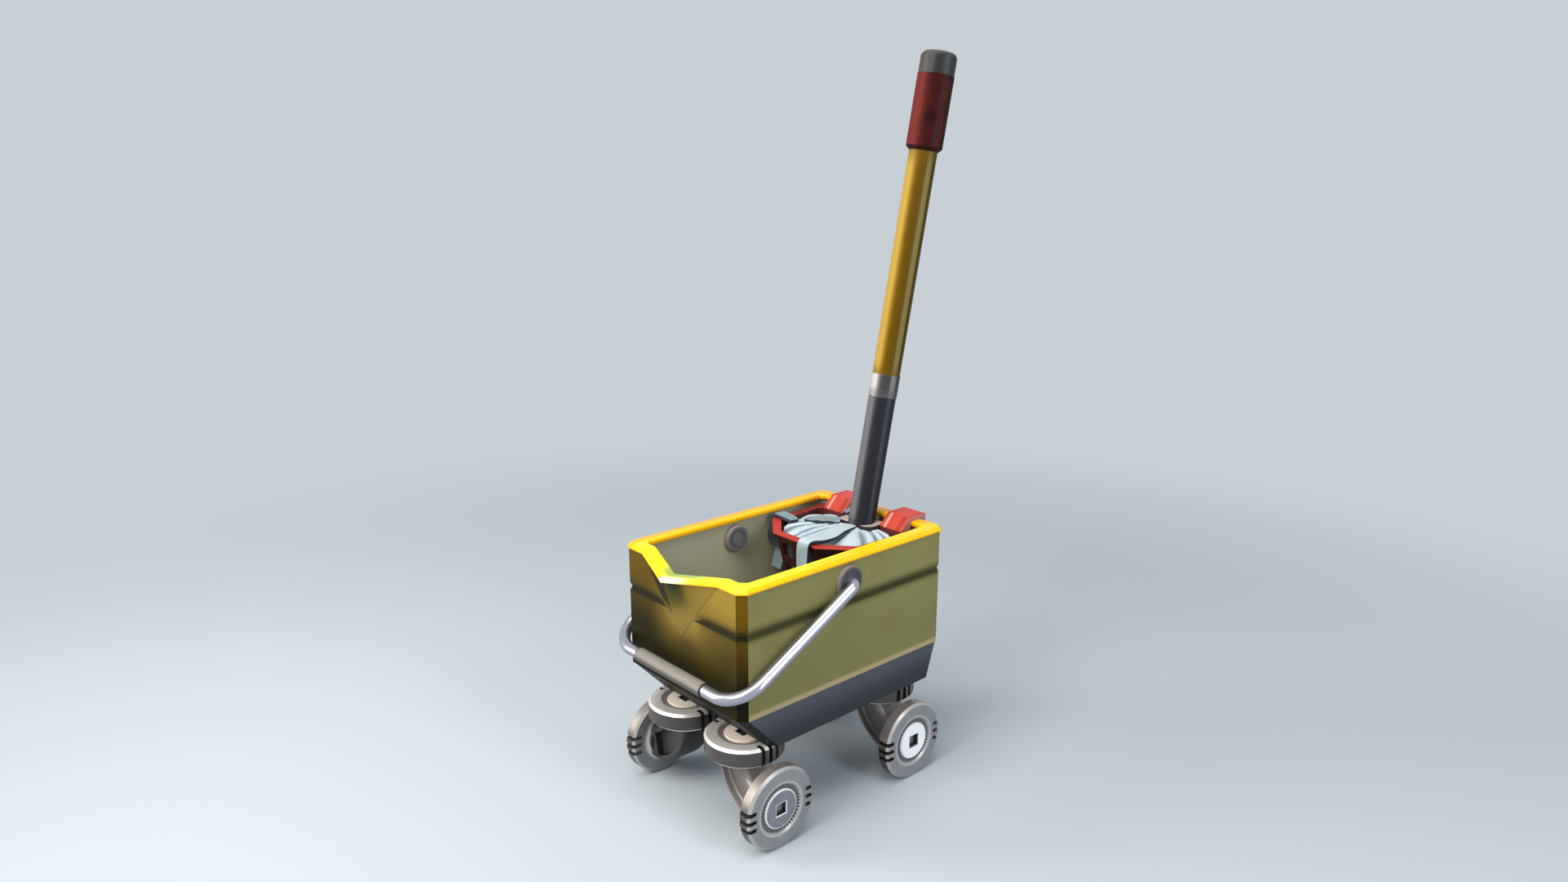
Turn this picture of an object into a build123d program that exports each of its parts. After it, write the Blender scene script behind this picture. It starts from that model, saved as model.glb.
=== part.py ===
from build123d import *
from math import cos, radians, sin
import os

os.makedirs("parts", exist_ok=True)

# Driving dimensions in millimetres, the origin on the floor under the middle of the whole outline:
# the spout faces -Y, the wringer hangs at the +Y end
tub_y = -19.215  # middle of the tub, from which every other Y value is measured
tub_width = 260
tub_length = 394
corner_cut = 11
inner_cut = 9
wall = 16
seam_z = 199  # joint between the base tray and the tub
rim_z = 375  # top of the wall, underside of the rim
tub_floor = 12
floor_fillet = 10
groove_z = 317.5
groove_half = 6
groove_depth = 3

spout_half = 84  # half width of the pouring lip where it leaves the wall
spout_out = 29
spout_drop = 100  # height over which the lip dies into the wall
spout_dip = 10
spout_wall = 19  # thickness of the lip's wall along Y at its tip

rim_height = 6.5
rim_width = 23.5
rim_proud = 1.5
rim_outer_edge = 4.5
rim_inner_edge = 2.5

base_z = 143.6
base_half_width = 127.5
base_front_y = -144
base_back_y = 180
base_floor = 6
base_wall = 5
base_step = 1  # the tray's top edge stands this far inside the tub
rib = 4
boss_r = 9
pad_r = 7
pad_height = 12

# Screws: six join the tub to the tray, three hold each castor disc where it lies under the tray
base_screws_at = [(100, -50), (-100, -50), (100, 35), (-100, 35), (0, -124), (0, 160)]
base_screw_r = 3
base_head_r = 5.5
castor_screw_circle = 46
castor_screw_turns = [-55, 0, 55]
castor_screw_r = 2.5
castor_head_r = 4.5
hook_screws_at = [(50, 163.5), (73, 163.5), (-50, 163.5), (-73, 163.5)]
hook_screw_r = 2.2
hook_head_r = 3.8
screw_head = 4
sunk = 0.5

# Bail: its pivots, the rod and how far it hangs below level
pivot_y = -7.5
pivot_z = 347.5
bush_flange_r = 22.5
bush_flange = 7.5
sleeve_r = 12
sleeve_length = 20
pivot_cap_r = 21
pivot_cap_thick = 9
rod_r = 8.5
rod_end_x = 112
arm_x = 147  # at the pivots
bar_x = 142  # where the arms meet the cross-bar
bail_reach = 237
bail_drop = 29.1
bail_corner = 47
bail_turn = 9.5
grip_half = 74.5
grip_r = 10.2
running = 0.06  # radial clearance of a turning fit
seat = 0.02  # radial clearance of a fixed fit

# Castors: a fixed disc, an arm that swivels below it and a wheel
castor_x = 66
castor_y = {"front": -141, "back": 127}
disc_r = 56
disc_thick = 27
wheel_r = 59
wheel_width = 21
wheel_x = 122.4  # inner face of the wheel
edge_cut = 3.5
hub_r = 28.5  # recess that takes the cap
hub_depth = 5.5
head_r = 13  # counterbore under the cap
head_depth = 4
face_groove = [(37, 0), (34, 3), (hub_r, 3)]  # radius and depth across the groove round the hub
notch_width = 5.5
notch_pitch = 12
notch_depth = 4
notch_length = 13
cap_r = 28.3
cap_window = 16
kingpin_r = 8
kingpin_low_z = 84
pin_square = 11
washer_r = 24
washer_thick = 0.8
axle_r = 7
axle_in_x = 95
axle_head_r = 10
wheel_bush_r = 10
elbow_x = 121  # the arm is a quarter ring about this line
elbow_z = 115.6
arm_depth = 56
arm_width = 54
arm_round = 10
arm_flange_r = 30
arm_flange = 4.5
pocket_depth = 10
pocket_margin = 10
pocket_start = 14

# Wringer basket: a ring, a tapering cage below it and two hooks over the back rim
ring_z = 369
ring_thick = 10
ring_lip = 4.5
ring_outer = [(46, 11), (97, 55), (104, 166), (96, 174.5)]
ring_under = [(44, 14), (94, 57), (101, 165), (94, 174.5)]
ring_inner = [(41, 24), (83, 61), (87, 146), (83, 152.5), (41, 152.5), (41, 170.6)]
cage_top = [(42, 16), (92, 58), (98, 161), (91, 173.5)]
cage_bottom = [(28, 46), (52, 68), (60, 132), (50, 142)]
cage_low_z = 226
cage_wall = 4
hoop_low_z = 322
hoop_high_z = 333
window_low_z = 240
window_high_z = 355
window_corner = 6
strut = 9
strut_pitch = 42
floor_plate = 4
hook_x = 39.5
hook_width = 44
hook_side = [
    (153.5, 369),
    (172, 387.5),
    (207.5, 387.5),
    (207.5, 352),
    (199.2, 352),
    (199.2, 381.55),
    (174.6, 381.55),
    (174.6, 369),
]
hook_line = 2
hook_line_depth = 0.9
hook_line_edge = 5

# Mop: the foot of its pole, the lean and the lengths along it
foot_x = 8
foot_y = 146
foot_z = 370
lean_back = 7.9
lean_right = 3.7
pole_r = 20.7
tube_bore = 18
flange_at = (4.4, 148.5)  # its middle
flange_half = [(25.5, -19.5), (34.4, -10.5), (34.4, 14), (29, 19.5)]  # right half of its outline
flange_thick = 9
lower_length = 197
ferrule_length = 35
ferrule_r = 21.5
spigot = 40
grip_start = 558
grip_end = 663
hand_grip_r = 26.5
grip_taper = 5
cap_end = 695
cap_round = 9
yarn_low = [(24, 55), (44, 74), (50, 124), (40, 134)]
yarn_wide = [(36, 32), (76, 66), (81, 140), (74, 148)]
yarn_top = [(24, 50), (50, 74), (60, 136), (52, 147)]
yarn_low_z = 230
yarn_wide_z = 352
yarn_top_z = 367
strip_thick = 5

half_width = tub_width / 2
half_length = tub_length / 2
rim_top = rim_z + rim_height
disc_low_z = base_z - disc_thick

# Planes through the middle of the tub: plan (X, Y), front elevation (X, Z) and side elevation (Y, Z)
plan = Plane((0, tub_y, 0))
front = Plane((0, tub_y, 0), x_dir=(1, 0, 0), z_dir=(0, -1, 0))
side = Plane((0, tub_y, 0), x_dir=(0, 1, 0), z_dir=(1, 0, 0))


# A symmetrical outline from its right half, front to back
def both_sides(right):
    return right + [(-x, y) for x, y in reversed(right) if x]


# A rectangle with its corners cut off, which may carry a pointed lip in front
def box_points(half, front_y, back_y, cut, lip=()):
    corner = [(half - cut, front_y), (half, front_y + cut), (half, back_y - cut), (half - cut, back_y)]
    return both_sides(list(lip) + corner)


def level(z, points, inset=0):
    with BuildSketch(plan.offset(z)) as flat:
        Polygon(*points, align=None)
        if inset:
            offset(amount=-inset, kind=Kind.INTERSECTION)
    return flat.sketch


def dots(z, places, radius):
    with BuildSketch(plan.offset(z)) as flat:
        with Locations(*places):
            Circle(radius)
    return flat.sketch


def tub_level(z, inset=0):
    return level(z, box_points(half_width, -half_length, half_length, corner_cut), inset)


def tray_level(z, inset=0):
    rise = (z - base_z) / (seam_z - base_z)
    top_half = half_width - base_step
    top_end = half_length - base_step
    half = base_half_width + rise * (top_half - base_half_width)
    front_y = base_front_y + rise * (-top_end - base_front_y)
    back_y = base_back_y + rise * (top_end - base_back_y)
    return level(z, box_points(half, front_y, back_y, corner_cut), inset)


# A lip as a pyramid: a triangle at the top that starts inside the wall and runs down to a point
def lip_wedge(wall_y, half, out, drop, buried):
    grow = (out + buried) / out
    with BuildSketch(plan.offset(rim_z)) as top:
        wide = [(-half * grow, wall_y + buried), (half * grow, wall_y + buried)]
        Polygon(*wide, (0, wall_y - out), align=None)
    return [top.sketch, Vertex(0, tub_y + wall_y + buried, rim_z - drop * grow)]


def castor_screw_places():
    places = []
    for end, inward in (("front", 90), ("back", -90)):
        for x in (castor_x, -castor_x):
            for turn in castor_screw_turns:
                angle = radians(inward + turn)
                reach_x = castor_screw_circle * cos(angle)
                reach_y = castor_screw_circle * sin(angle)
                places.append((x + reach_x, castor_y[end] + reach_y))
    return places


# Tub shell: thick body with a groove round it and a pouring lip that dips at its tip
with BuildPart() as tub_shell:
    extrude(tub_level(seam_z), amount=groove_z - groove_half - seam_z)
    loft([tub_level(groove_z - groove_half), tub_level(groove_z, groove_depth)], ruled=True)
    loft([tub_level(groove_z, groove_depth), tub_level(groove_z + groove_half)], ruled=True)
    extrude(tub_level(groove_z + groove_half), amount=rim_z - groove_z - groove_half)
    loft(lip_wedge(-half_length, spout_half, spout_out, spout_drop, buried=4), ruled=True)
    inside_z = seam_z + tub_floor
    inside = box_points(half_width - wall, -half_length + wall, half_length - wall, inner_cut)
    extrude(level(inside_z, inside), amount=rim_z - inside_z, mode=Mode.SUBTRACT)
    inner_floor = tub_shell.faces().filter_by_position(Axis.Z, inside_z - 1, inside_z + 1)
    fillet(inner_floor.edges(), floor_fillet)
    inner_y = -half_length + wall
    inner_out = spout_out + wall - spout_wall
    inner_half = spout_half * inner_out / spout_out
    hollow_lip = lip_wedge(inner_y, inner_half, inner_out, spout_drop * 0.8, buried=2)
    loft(hollow_lip, ruled=True, mode=Mode.SUBTRACT)
    with BuildSketch(front.offset(half_length - wall - 1)):
        dip_half = spout_half * (1 + 1 / spout_dip)
        Polygon((-dip_half, rim_z + 1), (0, rim_z - spout_dip), (dip_half, rim_z + 1), align=None)
    extrude(amount=wall + spout_out + 2, mode=Mode.SUBTRACT)
    with BuildSketch(side):
        with Locations((pivot_y, pivot_z)):
            Circle(sleeve_r + seat)
    extrude(amount=half_width + 1, both=True, mode=Mode.SUBTRACT)
    extrude(dots(seam_z, base_screws_at, base_screw_r + seat), amount=tub_floor - 3, mode=Mode.SUBTRACT)
tub_shell.part.label = "tub_shell"
export_step(tub_shell.part, "parts/tub_shell.step")

# Rim: an edging over the wall that follows the dip of the lip, its upper edges cut off
rim_half = half_width + rim_proud
rim_end = half_length + rim_proud
rim_inner = rim_end - rim_width
outer_lip = [(0, -rim_end - spout_out), (spout_half, -rim_end)]
inner_lip = [(0, -rim_inner - spout_out + 2), (spout_half - 2, -rim_inner)]
with BuildPart() as rim_trim:
    with BuildSketch(plan.offset(rim_z - spout_dip)):
        Polygon(*box_points(rim_half, -rim_end, rim_end, corner_cut, outer_lip), align=None)
        opening = box_points(rim_half - rim_width, -rim_inner, rim_inner, corner_cut - 4, inner_lip)
        Polygon(*opening, align=None, mode=Mode.SUBTRACT)
    extrude(amount=rim_height + spout_dip)
    with BuildSketch(plan.offset(rim_z - spout_dip)):
        with Locations((0, rim_width + 2)):
            Rectangle(2 * rim_end, 2 * rim_end)
    extrude(amount=spout_dip, mode=Mode.SUBTRACT)
    with BuildSketch(front.offset(rim_inner - rim_width)):
        under = [(spout_half, rim_z), (rim_end, rim_z), (rim_end, rim_z - spout_dip - 1)]
        Polygon((0, rim_z - spout_dip), *both_sides(under), align=None)
        Polygon((-spout_half, rim_top), (0, rim_top - spout_dip), (spout_half, rim_top), align=None)
    extrude(amount=3 * rim_width + spout_out, mode=Mode.SUBTRACT)
    top_edges = rim_trim.faces().filter_by(lambda face: face.normal_at().Z > 0.9).edges()
    long_edges = top_edges.filter_by(Axis.Y).filter_by(lambda edge: abs(edge.center().X) > spout_half + 5)
    rim_edges = long_edges + top_edges.filter_by(Axis.Y, reverse=True)
    outer_edges = [
        edge
        for edge in rim_edges
        if abs(edge.center().X) > rim_half - 8 or abs(edge.center().Y - tub_y) > half_length - 5
    ]
    chamfer([edge for edge in rim_edges if edge not in outer_edges], rim_inner_edge)
    chamfer(outer_edges, rim_outer_edge)
rim_trim.part.label = "rim_trim"
export_step(rim_trim.part, "parts/rim_trim.step")

# Base tray: a tapered box, open at the top, with ribs, screw bosses and pads for the castor screws
with BuildPart() as base_pan:
    loft([tray_level(base_z), tray_level(seam_z)], ruled=True)
    tray_floor = base_z + base_floor
    loft([tray_level(tray_floor, base_wall), tray_level(seam_z, base_wall)], ruled=True, mode=Mode.SUBTRACT)
    with BuildSketch(plan.offset(base_z + 1)):
        for x, y in base_screws_at:
            with Locations((0, y)):
                Rectangle(2 * base_half_width - base_wall, rib)
        with Locations((0, (base_front_y + base_back_y) / 2)):
            Rectangle(rib, base_back_y - base_front_y - base_wall)
        with Locations(*base_screws_at):
            Circle(boss_r)
    extrude(amount=seam_z - base_z - 1)
    extrude(dots(base_z + 1, castor_screw_places(), pad_r), amount=pad_height)
    extrude(dots(base_z, base_screws_at, base_head_r + 0.3), amount=screw_head + sunk, mode=Mode.SUBTRACT)
    extrude(dots(base_z, base_screws_at, base_screw_r + seat), amount=seam_z - base_z, mode=Mode.SUBTRACT)
    castor_holes = dots(base_z, castor_screw_places(), castor_screw_r + seat)
    extrude(castor_holes, amount=pad_height - 1, mode=Mode.SUBTRACT)
base_pan.part.label = "base_pan"
export_step(base_pan.part, "parts/base_pan.step")


# A row of screws standing head down: heads, cross recesses and shanks
def screw_row(places, low_z, head, shank, top_z):
    with BuildPart() as screws:
        extrude(dots(low_z, places, head), amount=screw_head)
        extrude(dots(low_z, places, shank), amount=top_z - low_z)
        with BuildSketch(plan.offset(low_z)):
            with Locations(*places):
                Rectangle(1.2 * head, 0.3 * head)
                Rectangle(0.3 * head, 1.2 * head)
        extrude(amount=screw_head / 2, mode=Mode.SUBTRACT)
    return screws.part


base_screws = screw_row(base_screws_at, base_z + sunk, base_head_r, base_screw_r, seam_z + tub_floor - 4)
base_screws.label = "base_screws"
export_step(base_screws, "parts/base_screws.step")
castor_top = base_z + pad_height - 2
castor_places = castor_screw_places()
castor_screws = screw_row(castor_places, disc_low_z + sunk, castor_head_r, castor_screw_r, castor_top)
castor_screws.label = "castor_screws"
export_step(castor_screws, "parts/castor_screws.step")


# A disc about the plane's axis: cut edges, groove and notches in its face, recess for a cap and a bolt head
def grooved_disc(plane, radius, thick, bore):
    groove = [(r, thick - depth) for r, depth in face_groove]
    seat_z = thick - hub_depth
    low_z = seat_z - head_depth
    rim = [(bore, 0), (radius - edge_cut, 0), (radius, edge_cut), (radius, thick - edge_cut)]
    face = [(radius - edge_cut, thick), *groove, (hub_r, seat_z)]
    with BuildPart() as disc:
        with BuildSketch(Plane(plane.origin, x_dir=plane.x_dir, z_dir=-plane.y_dir)):
            Polygon(*rim, *face, (head_r, seat_z), (head_r, low_z), (bore, low_z), align=None)
        revolve(axis=Axis(plane.origin, plane.z_dir))
        for low, length in ((0, notch_depth), (thick - notch_depth, notch_length)):
            with BuildSketch(plane.offset(low)):
                with Locations((radius - length / 2 + 1, 0), (-radius + length / 2 - 1, 0)):
                    with GridLocations(0, notch_pitch, 1, 3):
                        Rectangle(length + 2, notch_width)
            extrude(amount=thick, mode=Mode.SUBTRACT)
    return disc.part


# A round cap with a square window, sitting on the floor of the recess
def hub_cap(plane):
    with BuildPart() as cap:
        with BuildSketch(plane):
            Circle(cap_r)
            Rectangle(cap_window, cap_window, mode=Mode.SUBTRACT)
        extrude(amount=hub_depth - 0.3)
        face_edges = cap.faces().filter_by(lambda face: face.normal_at().dot(plane.z_dir) > 0.9).edges()
        chamfer(face_edges, 1.2)
    return cap.part


# Kingpin: head under the cap, square end in its window, plain shank down into the arm
def kingpin(foot):
    head_z = base_z - hub_depth - head_depth
    with BuildPart() as pin:
        with BuildSketch(foot.offset(head_z)):
            Circle(head_r - 0.2)
        extrude(amount=head_depth)
        with BuildSketch(foot.offset(head_z)):
            Rectangle(pin_square, pin_square)
        extrude(amount=head_depth + 3.2)
        with BuildSketch(foot.offset(kingpin_low_z)):
            Circle(kingpin_r)
        extrude(amount=head_z - kingpin_low_z)
        chamfer(pin.edges().sort_by(Axis.Z)[0], 1.5)
    return pin.part


# Swivel arm: a quarter ring from under the disc to the wheel, hollowed on both sides between two flanges
def swivel_arm(y):
    middle = (elbow_x, tub_y + y, elbow_z)
    sweep_radius = elbow_z - wheel_r

    def section(angle):
        c = cos(radians(angle))
        s = sin(radians(angle))
        return Plane(middle, x_dir=(-c, 0, -s), z_dir=(s, 0, -c))

    with BuildPart() as arm:
        with BuildSketch(section(0)):
            with Locations((sweep_radius, 0)):
                RectangleRounded(arm_depth, arm_width, arm_round)
        revolve(axis=Axis(middle, (0, -1, 0)), revolution_arc=90)
        with BuildSketch(section(pocket_start)):
            with Locations((sweep_radius, arm_width / 2), (sweep_radius, -arm_width / 2)):
                RectangleRounded(arm_depth - 2 * pocket_margin, 2 * pocket_depth, 4)
        revolve(axis=Axis(middle, (0, -1, 0)), revolution_arc=90 - 2 * pocket_start, mode=Mode.SUBTRACT)
        with BuildSketch(plan.offset(elbow_z)):
            with Locations((castor_x, y)):
                Circle(arm_flange_r)
        extrude(amount=-arm_flange)
        with BuildSketch(side.offset(elbow_x - arm_flange)):
            with Locations((y, wheel_r)):
                Circle(arm_flange_r)
        extrude(amount=arm_flange)
        with BuildSketch(plan.offset(kingpin_low_z - 2)):
            with Locations((castor_x, y)):
                Circle(kingpin_r + running)
        extrude(amount=elbow_z - kingpin_low_z + 3, mode=Mode.SUBTRACT)
        with BuildSketch(side.offset(axle_in_x)):
            with Locations((y, wheel_r)):
                Circle(axle_r + seat)
        extrude(amount=elbow_x - axle_in_x + 1, mode=Mode.SUBTRACT)
    return arm.part


# Axle: fixed in the arm, its head held in the wheel's counterbore
def axle(hub):
    head_from = wheel_width - hub_depth - head_depth + 0.3
    with BuildPart() as pin:
        with BuildSketch(hub.offset(axle_in_x - wheel_x)):
            Circle(axle_r)
        extrude(amount=wheel_x - axle_in_x + head_from)
        with BuildSketch(hub.offset(head_from)):
            Circle(axle_head_r)
        extrude(amount=3)
        chamfer(pin.edges().sort_by(Axis.X)[-1], 0.8)
    return pin.part


def wheel_bush(hub):
    with BuildPart() as bush:
        with BuildSketch(hub):
            Circle(wheel_bush_r)
            Circle(axle_r + running, mode=Mode.SUBTRACT)
        extrude(amount=wheel_width - hub_depth - head_depth)
    return bush.part


# The four castors: each is drawn on the right, the left ones are mirrored
for end, y in castor_y.items():
    foot = Plane((castor_x, tub_y + y, 0))
    hub = Plane((wheel_x, tub_y + y, wheel_r), x_dir=(0, 1, 0), z_dir=(1, 0, 0))
    disc = grooved_disc(foot.offset(disc_low_z), disc_r, disc_thick, kingpin_r + seat)
    screw_holes = Part() + [
        Pos(x, tub_y + screw_y, disc_low_z) * Cylinder(r, h, align=(Align.CENTER, Align.CENTER, Align.MIN))
        for x, screw_y in castor_screw_places()
        for r, h in ((castor_head_r + 0.3, screw_head + sunk), (castor_screw_r + 0.2, disc_thick))
    ]
    pieces = {
        "swivel_disc": disc - screw_holes,
        "disc_cap": hub_cap(foot.offset(base_z - hub_depth)),
        "kingpin": kingpin(foot),
        "swivel_arm": swivel_arm(y),
        "axle": axle(hub),
        "wheel": grooved_disc(hub, wheel_r, wheel_width, wheel_bush_r + seat),
        "wheel_bush": wheel_bush(hub),
        "wheel_cap": hub_cap(hub.offset(wheel_width - hub_depth)),
    }
    for name, piece in pieces.items():
        for hand, shape in (("right", piece), ("left", mirror(piece, about=Plane.YZ))):
            shape.label = f"{name}_{end}_{hand}"
            export_step(shape, f"parts/{name}_{end}_{hand}.step")

# Thrust washers between the discs and the arms
with BuildPart() as thrust_washers:
    washer_places = [(x, y) for x in (castor_x, -castor_x) for y in castor_y.values()]
    extrude(dots(disc_low_z, washer_places, washer_r), amount=-washer_thick)
    extrude(dots(disc_low_z, washer_places, kingpin_r + 1), amount=-washer_thick, mode=Mode.SUBTRACT)
thrust_washers.part.label = "thrust_washers"
export_step(thrust_washers.part, "parts/thrust_washers.step")

# Bail pivots: a flanged bush through each wall and a cap over its inner end
with BuildPart() as pivot_bush_right:
    with BuildSketch(side.offset(half_width)):
        with Locations((pivot_y, pivot_z)):
            Circle(bush_flange_r)
    extrude(amount=bush_flange)
    chamfer(pivot_bush_right.edges().sort_by(Axis.X)[-1], 2)
    with BuildSketch(side.offset(half_width)):
        with Locations((pivot_y, pivot_z)):
            Circle(sleeve_r)
    extrude(amount=-sleeve_length)
    with BuildSketch(side.offset(half_width - sleeve_length)):
        with Locations((pivot_y, pivot_z)):
            Circle(rod_r + running)
    extrude(amount=sleeve_length + bush_flange, mode=Mode.SUBTRACT)
with BuildPart() as pivot_cap_right:
    with BuildSketch(side.offset(half_width - wall)):
        with Locations((pivot_y, pivot_z)):
            Circle(pivot_cap_r)
    extrude(amount=-pivot_cap_thick)
    chamfer(pivot_cap_right.edges().sort_by(Axis.X)[0], 2)
    with BuildSketch(side.offset(half_width - wall)):
        with Locations((pivot_y, pivot_z)):
            Circle(sleeve_r + seat)
    extrude(amount=-(sleeve_length - wall), mode=Mode.SUBTRACT)
    with BuildSketch(side.offset(half_width - wall - pivot_cap_thick)):
        with Locations((pivot_y, pivot_z)):
            Circle(0.6 * pivot_cap_r)
            Circle(0.5 * pivot_cap_r, mode=Mode.SUBTRACT)
    extrude(amount=1.5, mode=Mode.SUBTRACT)
for name, piece in (("pivot_bush", pivot_bush_right.part), ("pivot_cap", pivot_cap_right.part)):
    for hand, shape in (("right", piece), ("left", mirror(piece, about=Plane.YZ))):
        shape.label = f"{name}_{hand}"
        export_step(shape, f"parts/{name}_{hand}.step")

# Bail: a bent rod drawn in its own hanging plane and a sleeve on its cross-bar
drop_cos = cos(radians(bail_drop))
drop_sin = sin(radians(bail_drop))
bail = Plane((0, tub_y + pivot_y, pivot_z), x_dir=(1, 0, 0), z_dir=(0, drop_sin, -drop_cos))
with BuildPart() as bail_rod:
    with BuildLine(bail) as bend:
        FilletPolyline(
            (rod_end_x, 0),
            (arm_x, 0),
            (bar_x, bail_reach),
            (-bar_x, bail_reach),
            (-arm_x, 0),
            (-rod_end_x, 0),
            radius=[bail_turn, bail_corner, bail_corner, bail_turn],
        )
    with BuildSketch(Plane(bend.line @ 0, z_dir=bend.line % 0)):
        Circle(rod_r)
    sweep()
bail_rod.part.label = "bail_rod"
export_step(bail_rod.part, "parts/bail_rod.step")

grip_plane = Plane(bail.from_local_coords((-grip_half, bail_reach, 0)), x_dir=bail.y_dir, z_dir=(1, 0, 0))
with BuildPart() as bail_grip:
    with BuildSketch(grip_plane):
        Circle(grip_r)
        Circle(rod_r + running, mode=Mode.SUBTRACT)
    extrude(amount=2 * grip_half)
    end_edges = bail_grip.edges().filter_by(GeomType.CIRCLE)
    chamfer(end_edges.filter_by(lambda edge: edge.radius > grip_r - 1), 0.8)
bail_grip.part.label = "bail_grip"
export_step(bail_grip.part, "parts/bail_grip.step")

# Wringer ring: a lip over a set-back band, open in the middle and notched at the back for the mop's flange
with BuildPart() as wringer_ring:
    extrude(level(ring_z - ring_lip, both_sides(ring_outer)), amount=ring_lip)
    chamfer(wringer_ring.faces().sort_by(Axis.Z)[-1].edges(), 1.5)
    extrude(level(ring_z - ring_thick, both_sides(ring_under)), amount=ring_thick - ring_lip)
    extrude(level(ring_z - ring_thick, both_sides(ring_inner)), amount=ring_thick, mode=Mode.SUBTRACT)
    ring_holes = dots(ring_z - ring_thick, hook_screws_at, hook_screw_r + 0.1)
    extrude(ring_holes, amount=ring_thick, mode=Mode.SUBTRACT)
wringer_ring.part.label = "wringer_ring"
export_step(wringer_ring.part, "parts/wringer_ring.step")

cage_high = both_sides(cage_top)
cage_low = both_sides(cage_bottom)
cage_top_z = ring_z - ring_thick


# Where a corner of the cage stands at a given height
def cage_corner(i, z):
    rise = (z - cage_low_z) / (cage_top_z - cage_low_z)
    low = Vector(*cage_low[i % 8])
    return low + (Vector(*cage_high[i % 8]) - low) * rise


# Wringer cage: a tapering basket whose sides are cut into windows between struts and a hoop
with BuildPart() as wringer_cage:
    loft([level(cage_low_z, cage_low), level(cage_top_z, cage_high)], ruled=True)
    hollow = [level(cage_low_z, cage_low, cage_wall), level(cage_top_z, cage_high, cage_wall)]
    loft(hollow, ruled=True, mode=Mode.SUBTRACT)
    for i in range(8):
        along = cage_corner(i + 1, cage_top_z) - cage_corner(i, cage_top_z)
        columns = round(along.length / strut_pitch)
        rows = ((window_low_z, hoop_low_z, 0), (hoop_high_z, window_high_z, window_corner))
        for low_z, high_z, cut in rows:
            middle = cage_corner(i, (low_z + high_z) / 2)
            outward = (along.Y, -along.X, 0)
            face = Plane((middle.X, tub_y + middle.Y, 0), x_dir=(along.X, along.Y, 0), z_dir=outward)
            for column in range(columns):
                corners = []
                for z, trim in ((low_z, 0), (high_z, cut)):
                    start = (cage_corner(i, z) - middle).dot(along.normalized())
                    span = (cage_corner(i + 1, z) - cage_corner(i, z)).dot(along.normalized())
                    left = start + span * column / columns + strut / 2
                    right = start + span * (column + 1) / columns - strut / 2
                    corners.append((left + trim, right - trim, z))
                (low_left, low_right, z0), (high_left, high_right, z1) = corners
                with BuildSketch(face):
                    Polygon((low_left, z0), (low_right, z0), (high_right, z1), (high_left, z1), align=None)
                extrude(amount=2 * strut, both=True, mode=Mode.SUBTRACT)
wringer_cage.part.label = "wringer_cage"
export_step(wringer_cage.part, "parts/wringer_cage.step")

# Wringer floor: a plate with drain holes under the cage
with BuildPart() as wringer_floor:
    extrude(level(cage_low_z, cage_low), amount=-floor_plate)
    with BuildSketch(plan.offset(cage_low_z - floor_plate)):
        with Locations((0, 95)):
            with GridLocations(22, 22, 4, 3):
                Circle(5)
    extrude(amount=floor_plate, mode=Mode.SUBTRACT)
wringer_floor.part.label = "wringer_floor"
export_step(wringer_floor.part, "parts/wringer_floor.step")

# Hooks: a sloping leg on the ring, an arch over the rim and a tongue behind it, with lines near both edges
with BuildPart() as hook_right:
    with BuildSketch(side.offset(hook_x)):
        Polygon(*hook_side, align=None)
    extrude(amount=hook_width)
    for edge_x in (hook_line_edge, hook_width - hook_line_edge - hook_line):
        with BuildSketch(side.offset(hook_x + edge_x)):
            Polygon(*hook_side, align=None)
            offset(amount=-hook_line_depth, kind=Kind.INTERSECTION, mode=Mode.SUBTRACT)
        extrude(amount=hook_line, mode=Mode.SUBTRACT)
    hook_holes = dots(ring_z, hook_screws_at, hook_screw_r + seat)
    extrude(hook_holes, amount=8, mode=Mode.SUBTRACT)
for hand, shape in (("right", hook_right.part), ("left", mirror(hook_right.part, about=Plane.YZ))):
    shape.label = f"hook_{hand}"
    export_step(shape, f"parts/hook_{hand}.step")

hook_screws = screw_row(hook_screws_at, cage_top_z - screw_head, hook_head_r, hook_screw_r, ring_z + 7)
hook_screws.label = "hook_screws"
export_step(hook_screws, "parts/hook_screws.step")

# Mop pole: a level flange, then everything is drawn along the leaning axis above it
pole = Plane((foot_x, tub_y + foot_y, foot_z)).rotated((-lean_back, lean_right, 0))
ferrule_top = lower_length + ferrule_length
flange_top = Plane((flange_at[0], tub_y + flange_at[1], foot_z))
with BuildPart() as mop_flange:
    with BuildSketch(flange_top):
        Polygon(*both_sides(flange_half), align=None)
    extrude(amount=-flange_thick)
mop_flange.part.label = "mop_flange"
export_step(mop_flange.part, "parts/mop_flange.step")

with BuildPart() as lower_tube:
    with BuildSketch(pole.offset(-flange_thick)):
        Circle(pole_r)
        Circle(tube_bore + seat, mode=Mode.SUBTRACT)
    extrude(amount=lower_length + flange_thick)
    split(bisect_by=flange_top, keep=Keep.TOP)
lower_tube.part.label = "lower_tube"
export_step(lower_tube.part, "parts/lower_tube.step")

with BuildPart() as ferrule:
    with BuildSketch(pole.offset(lower_length)):
        Circle(ferrule_r)
    extrude(amount=ferrule_length)
    chamfer(ferrule.edges().filter_by(GeomType.CIRCLE), 0.7)
    with BuildSketch(pole.offset(lower_length - spigot)):
        Circle(tube_bore)
    extrude(amount=ferrule_length + 2 * spigot)
ferrule.part.label = "ferrule"
export_step(ferrule.part, "parts/ferrule.step")

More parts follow.
